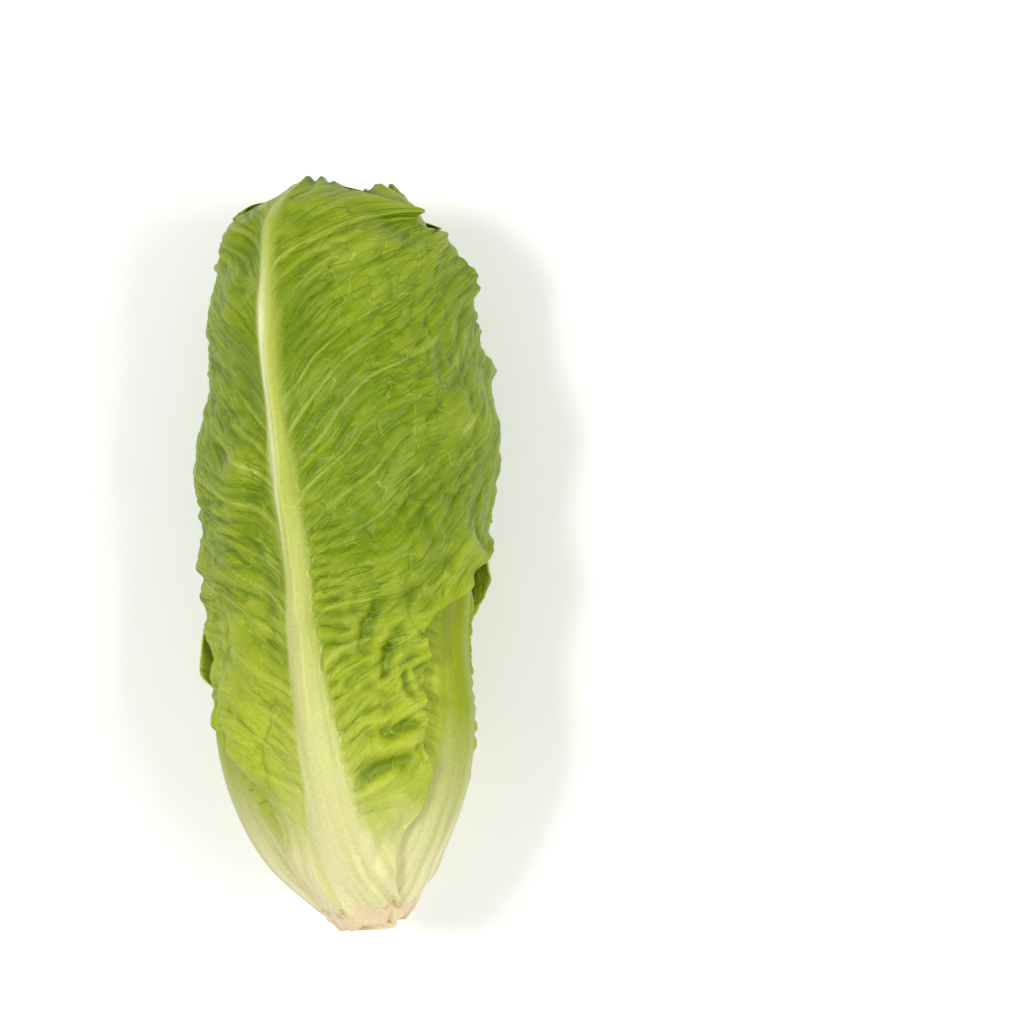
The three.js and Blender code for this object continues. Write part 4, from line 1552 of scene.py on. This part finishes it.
        colour = self.blade(node, noise, mask, drawn)
        share = node(RANGE, mask["pale"], 0.0, 1.0, 0.0, 0.96)
        colour = node(MIX, share, setup=COLOURS, in_6=colour, in_7=self.rib(node, noise, mask))
        colour = lay(node, colour, ((self.vein, drawn["rims"], 0.0, 1.0, 0.6),))
        colour = self.cut_end(node, noise, mask, colour)
        speckle = node(RANGE, noise["speckle"], 0.3, 0.7, 0.95, 1.04)
        colour = node(MIX, 1.0, setup=COLOURS | {"blend_type": "MULTIPLY"}, in_6=colour, in_7=speckle)

        gloss = node(RANGE, mask["pale"], 0.2, 0.9, self.roughness, self.roughness - 0.06)
        skin = node(
            "ShaderNodeBsdfPrincipled",
            Base_Color=colour,
            Roughness=node(MATH, noise["patches"], 0.12, gloss, setup=TIMES_PLUS),
            IOR=self.ior,
            Specular_IOR_Level=self.shine,
            Normal=self.relief(node, noise, mask, drawn),
        )
        node("ShaderNodeOutputMaterial", Surface=skin)
        return material


class LeafFinish(Enum):
    """The leaves' finishes: green outside, fading to yellow and cream towards the heart."""

    FRONT = LeafSkin("leaf_front", "#587400", "#839604", "#B1BC36", "#CED36C", "#DED6A4", "#A9B24B")
    GREEN = LeafSkin(
        "leaf_green", "#587400", "#839604", "#B1BC3A", "#A2AE34", "#E6DEAC", "#869314",
        rib_fade=0.3, shine=0.2, strokes=0.4,
    )  # fmt: skip
    FRESH = LeafSkin("leaf_fresh", "#738C0C", "#9CB126", "#BCCC48", "#D0D878", "#F0ECB2", "#D0D870")
    PALE = LeafSkin("leaf_pale", "#AFBB4C", "#CBD370", "#DBE08C", "#E6E8A6", "#F0EDBE", "#DFE39A")
    HEART = LeafSkin("heart_yellow", "#C4C766", "#D9DB88", "#E4E49C", "#ECEAB0", "#F0EDC0", "#E2E4A0")


@dataclass(frozen=True)
class StemFlesh:
    """The stem: pale fibrous flesh with a tan, drying face where it was cut and fine grain along it."""

    name: str = "stem_flesh"
    flesh: str = "#EAE3B8"
    fibre: str = "#D3CF94"
    cut: str = "#E4CBA6"
    ior: float = 1.4
    roughness: float = 0.55
    grain_size: float = 0.833
    grain_length: float = 10.0
    spot_size: float = 3.85
    bump_height: float = 0.3
    light_depth: float = 1.5

    def build(self) -> bpy.types.Material:
        """The material: two shades along the grain and, at the cut, tan spots. Light goes in 1.5 mm.

        Returns:
            The material.
        """
        material, node = new_material(self.name)
        place = node("ShaderNodeTexCoord", give="Object")
        long = node("ShaderNodeMapping", Vector=place, Scale=(1.0, 1.0 / self.grain_length, 1.0))
        grain = node(NOISE, Vector=long, Scale=repeats(self.grain_size), Detail=3.0)
        spots = node(NOISE, Vector=place, Scale=repeats(self.spot_size), Detail=4.0)
        cut = node("ShaderNodeAttribute", setup={"attribute_name": "cut"}, give="Fac")
        browned = node(MATH, cut, spots, setup=TIMES | {"use_clamp": True})
        layers = ((self.fibre, grain, 0.0, 1.0, 1.0), (self.cut, browned, 0.1, 0.6, 1.0))
        skin = node(
            "ShaderNodeBsdfPrincipled",
            Base_Color=lay(node, linear(self.flesh), layers),
            Roughness=self.roughness,
            IOR=self.ior,
            Subsurface_Weight=0.3,
            Subsurface_Radius=(1.0, 0.8, 0.4),
            Subsurface_Scale=self.light_depth * MM,
            Normal=node("ShaderNodeBump", Strength=0.4, Distance=self.bump_height * MM, Height=grain),
        )
        node("ShaderNodeOutputMaterial", Surface=skin)
        return material


@dataclass(frozen=True)
class FloorPaint:
    """A matt white-painted studio floor."""

    name: str = "floor_paint"
    white: str = "#FAFAFA"
    patch_size: float = 125.0

    def build(self) -> bpy.types.Material:
        """The material, with a slight unevenness in its gloss.

        Returns:
            The material.
        """
        material, node = new_material(self.name)
        place = node("ShaderNodeTexCoord", give="Object")
        patches = node(NOISE, Vector=place, Scale=repeats(self.patch_size))
        rough = node(RANGE, patches, 0.0, 1.0, 0.8, 0.9)
        paint = node("ShaderNodeBsdfPrincipled", Base_Color=linear(self.white), Roughness=rough)
        node("ShaderNodeOutputMaterial", Surface=paint)
        return material


# ------------------------------------------------------------------ the pieces


def put_mesh(name: str, sheets: Sequence[LeafMesh], material: bpy.types.Material) -> bpy.types.Object:
    """Makes one smooth object of one or more closed sheets.

    Args:
        name: The object's name.
        sheets: The sheets, with places in metres.
        material: Its finish.

    Returns:
        The object, at the origin.
    """
    starts = np.cumsum([0] + [len(s.points) for s in sheets[:-1]])
    quads = np.concatenate([s.quads + n for s, n in zip(sheets, starts)])
    triangles = np.concatenate([s.triangles + n for s, n in zip(sheets, starts)])
    points = np.concatenate([s.points for s in sheets])
    loops = np.concatenate([quads.ravel(), triangles.ravel()])
    sizes = np.concatenate([np.full(len(quads), 4), np.full(len(triangles), 3)])
    mesh = bpy.data.meshes.new(name)
    mesh.vertices.add(len(points))
    mesh.vertices.foreach_set("co", points.astype(np.float32).ravel())
    mesh.loops.add(len(loops))
    mesh.loops.foreach_set("vertex_index", loops.astype(np.int32))
    mesh.polygons.add(len(sizes))
    mesh.polygons.foreach_set("loop_start", np.concatenate([[0], np.cumsum(sizes)[:-1]]).astype(np.int32))
    mesh.update(calc_edges=True)
    mesh.polygons.foreach_set("use_smooth", np.ones(len(sizes), bool))
    for key in sheets[0].uv:
        uv = np.concatenate([s.uv[key] for s in sheets])
        mesh.uv_layers.new(name=key).data.foreach_set("uv", uv[loops].astype(np.float32).ravel())
    for key in sheets[0].masks:
        values = np.concatenate([s.masks[key] for s in sheets])
        mesh.attributes.new(key, "FLOAT", "POINT").data.foreach_set("value", values.astype(np.float32))
    mesh.materials.append(material)
    mesh.validate()
    piece = bpy.data.objects.new(name, mesh)
    bpy.context.scene.collection.objects.link(piece)
    return piece


def turned(radii: Array, stations: Array, sides: int, cut: Array) -> LeafMesh:
    """A closed body turned about the head's axis, its ends drawn to points: a radius for each station.

    Args:
        radii: Radius of each ring; the first and last are 0.
        stations: Station of each ring.
        sides: Vertices round a ring.
        cut: Cut mask of each ring.

    Returns:
        The body.
    """
    azimuth = np.arange(sides) * 360.0 / sides
    ring = FORM.place(azimuth[None, :], np.repeat(stations[1:-1, None], sides, 1), radii[1:-1, None])
    ends = FORM.place(np.zeros(2), stations[[0, -1]], np.zeros(2))
    points = np.concatenate([ring.reshape(-1, 3), ends]) * MM
    count = len(radii) - 2
    numbers = np.arange(count * sides).reshape(count, sides)
    numbers = np.concatenate([numbers, numbers[:, :1]], axis=1)
    foot, top = count * sides, count * sides + 1
    first, last = numbers[0], numbers[-1]
    fans = [np.stack([0 * first[:-1] + foot, first[1:], first[:-1]], -1)]
    fans.append(np.stack([last[:-1], last[1:], 0 * last[1:] + top], -1))
    place = np.stack([points[:, 0], points[:, 1] + FORM.length / 2 * MM], axis=-1)
    uv = {"leaf": place, "veins": place[:, ::-1], "pleats": place[:, ::-1]}
    masks = {"cut": np.concatenate([np.repeat(cut[1:-1], sides), cut[[0, -1]]])}
    rise = (points[:, 1] / MM + FORM.length / 2 - stations[0]) / (stations[-1] - stations[0])
    masks |= {"pale": 1 - 0.5 * rise, "level": 0.5 + 0 * rise, "rise": rise}
    masks |= {key: 0 * rise for key in ("vein", "crease", "finger", "flank", "lip", "thin")}
    return LeafMesh(points, grid_quads(numbers, True), np.concatenate(fans), uv, masks)


@dataclass
class Stem:
    """The short stem that every leaf grows from, with a flat, browned foot."""

    sides: int = 64
    rings: int = 60
    foot_round: float = 0.35
    top_round: float = 0.3
    foot_dome: float = 0.15
    foot_edge: float = 0.3

    def build(self, material: bpy.types.Material) -> bpy.types.Object:
        """Turns the stem: radius falls from foot to top with the 1.5th power of the station.

        Args:
            material: Its finish.

        Returns:
            The stem.
        """
        s = np.linspace(0, FORM.stem_length, self.rings)
        side = FORM.stem_radius(s)
        foot = np.linspace(0, side[0] - self.foot_round, 7)
        top = np.linspace(side[-1] - self.top_round, 0, 5)
        radii = np.concatenate([foot, side, top])
        dome = self.foot_dome * (1 - (foot / foot[-1]) ** 2)
        stations = np.concatenate([dome, s, FORM.stem_length + 0 * top])
        stations[len(foot)] = self.foot_edge
        cut = smooth(2.5, 0.2, stations)
        piece = put_mesh("stem_fine", [turned(radii, stations, self.sides, cut)], material)
        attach(piece, "root")
        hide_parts("stem")
        return piece


@dataclass
class Heart:
    """The bud: a slender core wrapped in four small leaves, all in one piece."""

    sides: int = 48
    rings: int = 60
    leans: tuple[float, float] = (-9.0, 9.0)
    shells: tuple[float, float] = (0.22, 0.12)
    first_foot: float = 2.0
    foot_step: float = 2.0
    first_tip: float = 150.0
    tip_step: float = 4.0
    half_width: float = 17.0
    half_width_step: float = 2.5

    def plan(self, h: int) -> LeafPlan:
        """What one of the heart's leaves is like.

        Args:
            h: Its number, 0 for the outermost.

        Returns:
            The leaf.
        """
        k = FORM.leaf_count + 1 + h
        return LeafPlan(
            name=f"heart_leaf_{h + 1}",
            seed=k,
            azimuth=FORM.front_azimuth - FORM.golden_angle * (k - 1),
            lean=mix(*self.leans, draw(k, 1)),
            shell=mix(*self.shells, h / (FORM.heart_leaves - 1)),
            foot=FORM.heart_station + self.first_foot + self.foot_step * h,
            tip=self.first_tip - self.tip_step * h,
            half_width=self.half_width - self.half_width_step * h,
            right_share=1.0,
            front=False,
            floor=FORM.resting_floors[-1],
            sag=0.0,
            gap=-FORM.heart_sink,
            rib=0.3,
            ruffle=0.4,
            flare=0.5,
            rows=11,
            rib_columns=(0.0, 1.0),
            blade_columns=(0.5, 1.0),
            weave=Weave.HEART,
            relief=0.3,
        )

    def build(self, material: bpy.types.Material, coarse: Ground, fine: Ground) -> bpy.types.Object:
        """Turns the core and lays its leaves on it from the innermost out.

        Args:
            material: Its finish.
            coarse: Raster for the coarse leaves, raised here.
            fine: Raster for the fine leaves, raised here.

        Returns:
            The heart.
        """
        share = np.concatenate([np.zeros(1), np.linspace(0, 1, self.rings)])
        radii = np.where(np.arange(len(share)) == 0, 0.0, FORM.core_radius(share))
        stations = FORM.heart_station + share * FORM.heart_core_length
        sheets = [turned(radii, stations, self.sides, 0 * share)]
        sheets += [grow_leaf(self.plan(h), coarse, fine) for h in reversed(range(FORM.heart_leaves))]
        piece = put_mesh("heart_fine", sheets, material)
        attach(piece, "root")
        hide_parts("heart")
        return piece


@dataclass
class Leaves:
    """The large leaves, numbered from the outside in and laid from the innermost out."""

    outer_count: int = 5
    leans: tuple[float, float] = (-9.0, 9.0)
    front_lean: float = -16.0
    uneven_tips: float = 3.0
    tip_fall: float = 14.0
    right_shares: tuple[float, float] = (0.92, 1.08)
    # Values of the outermost and of the innermost leaf.
    shells: tuple[float, float] = (1.0, 0.3)
    ribs: tuple[float, float] = (1.0, 0.35)
    ruffles: tuple[float, float] = (2.7, 0.6)
    flares: tuple[float, float] = (3.4, 0.6)
    reliefs: tuple[float, float] = (1.0, 0.35)
    # The last leaf that each finish dresses.
    finishes: tuple[tuple[int, LeafFinish], ...] = (
        (1, LeafFinish.FRONT),
        (2, LeafFinish.FRESH),
        (4, LeafFinish.GREEN),
        (7, LeafFinish.FRESH),
        (FORM.leaf_count, LeafFinish.PALE),
    )
    # How much wider than a plain one a leaf's pale midrib shows.
    rib_spreads: tuple[float, ...] = (1.0, 1.3, 2.1, 1.6, 1.3)

    def plan(self, k: int) -> LeafPlan:
        """What a leaf is like: the deeper it lies, the narrower, shorter and calmer it is.

        Args:
            k: Its number, 1 for the outermost.

        Returns:
            The leaf.
        """
        depth = (k - 1) / (FORM.leaf_count - 1)
        grids = [
            (1, 36, (0.0, 0.6, 1.0), (0.13, 0.28, 0.44, 0.6, 0.76, 0.9, 1.0), Weave.FRONT),
            (3, 30, (0.0, 0.6, 1.0), (0.16, 0.34, 0.53, 0.72, 0.88, 1.0), Weave.OUTER),
            (5, 22, (0.0, 0.6, 1.0), (0.25, 0.5, 0.78, 1.0), Weave.MIDDLE),
            (9, 14, (0.0, 1.0), (0.25, 0.5, 0.78, 1.0), Weave.INNER),
            (FORM.leaf_count, 11, (0.0, 1.0), (0.35, 0.7, 1.0), Weave.DEEP),
        ]
        _, rows, rib_columns, blade_columns, weave = next(g for g in grids if k <= g[0])
        return LeafPlan(
            name=f"leaf_{k:02d}",
            seed=k,
            azimuth=FORM.front_azimuth - FORM.golden_angle * (k - 1),
            lean=self.front_lean if k == 1 else mix(*self.leans, draw(k, 1)),
            shell=mix(*self.shells, depth**1.1),
            foot=float(np.clip(FORM.foot_step * (k - FORM.cut_leaves), 0, FORM.highest_foot)),
            tip=FORM.length - self.uneven_tips * draw(k, 2) - self.tip_fall * depth**1.3,
            half_width=mix(FORM.outer_half_width, FORM.inner_half_width, depth**0.8),
            right_share=mix(*self.right_shares, draw(k, 3)),
            front=k == 1,
            floor=FORM.resting_floors[min(k, len(FORM.resting_floors)) - 1],
            sag=FORM.resting_sag if k == FORM.resting_leaf else 0.0,
            gap=FORM.leaf_gap,
            rib=mix(*self.ribs, depth),
            ruffle=mix(*self.ruffles, depth),
            flare=mix(*self.flares, depth),
            rows=rows,
            rib_columns=rib_columns,
            blade_columns=blade_columns,
            weave=weave,
            relief=mix(*self.reliefs, depth),
            rib_spread=self.rib_spreads[min(k, len(self.rib_spreads)) - 1],
        )

    def finish(self, k: int) -> LeafFinish:
        """Chooses a leaf's finish.

        Args:
            k: Its number, 1 for the outermost.

        Returns:
            The finish.
        """
        return next(finish for last, finish in self.finishes if k <= last)

    def build(self, coarse: Ground, fine: Ground) -> list[bpy.types.Object]:
        """Grows every large leaf in its place.

        Args:
            coarse: Raster for the coarse leaves, raised here.
            fine: Raster for the fine leaves, raised here.

        Returns:
            The leaves, from the innermost out.
        """
        made: dict[LeafFinish, bpy.types.Material] = {}
        pieces = []
        for k in range(FORM.leaf_count, 0, -1):
            plan, finish = self.plan(k), self.finish(k)
            if finish not in made:
                made[finish] = finish.value.build()
            piece = put_mesh(f"{plan.name}_fine", [grow_leaf(plan, coarse, fine)], made[finish])
            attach(piece, "root")
            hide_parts(plan.name)
            LOG.info("%s: %d faces", piece.name, len(piece.data.polygons))
            pieces.append(piece)
        return pieces


@dataclass(frozen=True)
class SoftLight:
    """A square soft light: where it stands and its side, in metres, and its power in watts."""

    name: str
    place: tuple[float, float, float]
    size: float
    power: float

    def build(self, target: tuple[float, float, float]) -> None:
        """Adds the light.

        Args:
            target: The point that it faces, in metres.
        """
        light = bpy.data.lights.new(self.name, "AREA")
        light.shape, light.size, light.energy = "SQUARE", self.size, self.power
        lamp = bpy.data.objects.new(self.name, light)
        lamp.location = self.place
        lamp.rotation_euler = (Vector(target) - Vector(self.place)).to_track_quat("-Z", "Y").to_euler()
        bpy.context.scene.collection.objects.link(lamp)


@dataclass
class Studio:
    """A white floor, soft lights and a camera looking straight down, in metres."""

    camera_place: tuple[float, float, float] = (0.0388, 0.0081, 1.2352)
    camera_turn: float = -2.8
    lens: float = 175.8
    sensor: float = 36.0
    nearest: float = 0.05
    farthest: float = 50.0
    floor_size: float = 6.0
    floor_points: int = 13
    surround: float = 0.5
    lit_point: tuple[float, float, float] = (0.0, 0.0, 0.035)
    key: SoftLight = SoftLight("key", (-0.6, 0.14, 1.1), 0.35, 8.8)
    fill: SoftLight = SoftLight("fill", (0.78, -0.1, 0.95), 0.7, 8.6)

    def camera(self) -> None:
        """Adds the camera, straight above and turned by some degrees so that the head leans to the left."""
        data = bpy.data.cameras.new("camera")
        data.lens, data.sensor_width = self.lens, self.sensor
        data.clip_start, data.clip_end = self.nearest, self.farthest
        camera = bpy.data.objects.new("camera", data)
        camera.location = self.camera_place
        camera.rotation_euler = (0.0, 0.0, math.radians(self.camera_turn))
        bpy.context.scene.collection.objects.link(camera)
        bpy.context.scene.camera = camera

    def light(self) -> None:
        """Lights the head: a broad key from the upper left, a weaker fill and a pale surround."""
        scene = bpy.context.scene
        scene.view_settings.view_transform = "Standard"
        world = bpy.data.worlds.new("studio")
        world.use_nodes = True
        background = world.node_tree.nodes["Background"].inputs
        background["Color"].default_value = (1.0, 1.0, 1.0, 1.0)
        background["Strength"].default_value = self.surround
        scene.world = world
        self.key.build(self.lit_point)
        self.fill.build(self.lit_point)

    def floor(self) -> None:
        """Lays the floor: a flat grid with its top at height 0."""
        at = np.linspace(-self.floor_size / 2, self.floor_size / 2, self.floor_points)
        x, y = np.meshgrid(at, at)
        points = np.stack([x, y, 0 * x], axis=-1).reshape(-1, 3)
        numbers = np.arange(len(points)).reshape(x.shape)
        mesh = bpy.data.meshes.new("floor")
        mesh.from_pydata(points.tolist(), [], grid_quads(numbers, True).tolist())
        mesh.materials.append(FloorPaint().build())
        piece = bpy.data.objects.new("floor", mesh)
        bpy.context.scene.collection.objects.link(piece)


def main() -> None:
    """Builds the studio and the head, and reports each piece."""
    logging.basicConfig(level=logging.INFO, format="%(name)s: %(message)s")
    studio = Studio()
    studio.camera()
    studio.light()
    studio.floor()
    coarse, fine = Ground(azimuths=240, per_mm=1), Ground(azimuths=480, per_mm=2)
    stem = Stem().build(StemFlesh().build())
    LOG.info("%s: %d faces", stem.name, len(stem.data.polygons))
    heart = Heart().build(LeafFinish.HEART.value.build(), coarse, fine)
    LOG.info("%s: %d faces", heart.name, len(heart.data.polygons))
    Leaves().build(coarse, fine)
    bpy.context.view_layer.update()


if __name__ == "__main__":
    main()
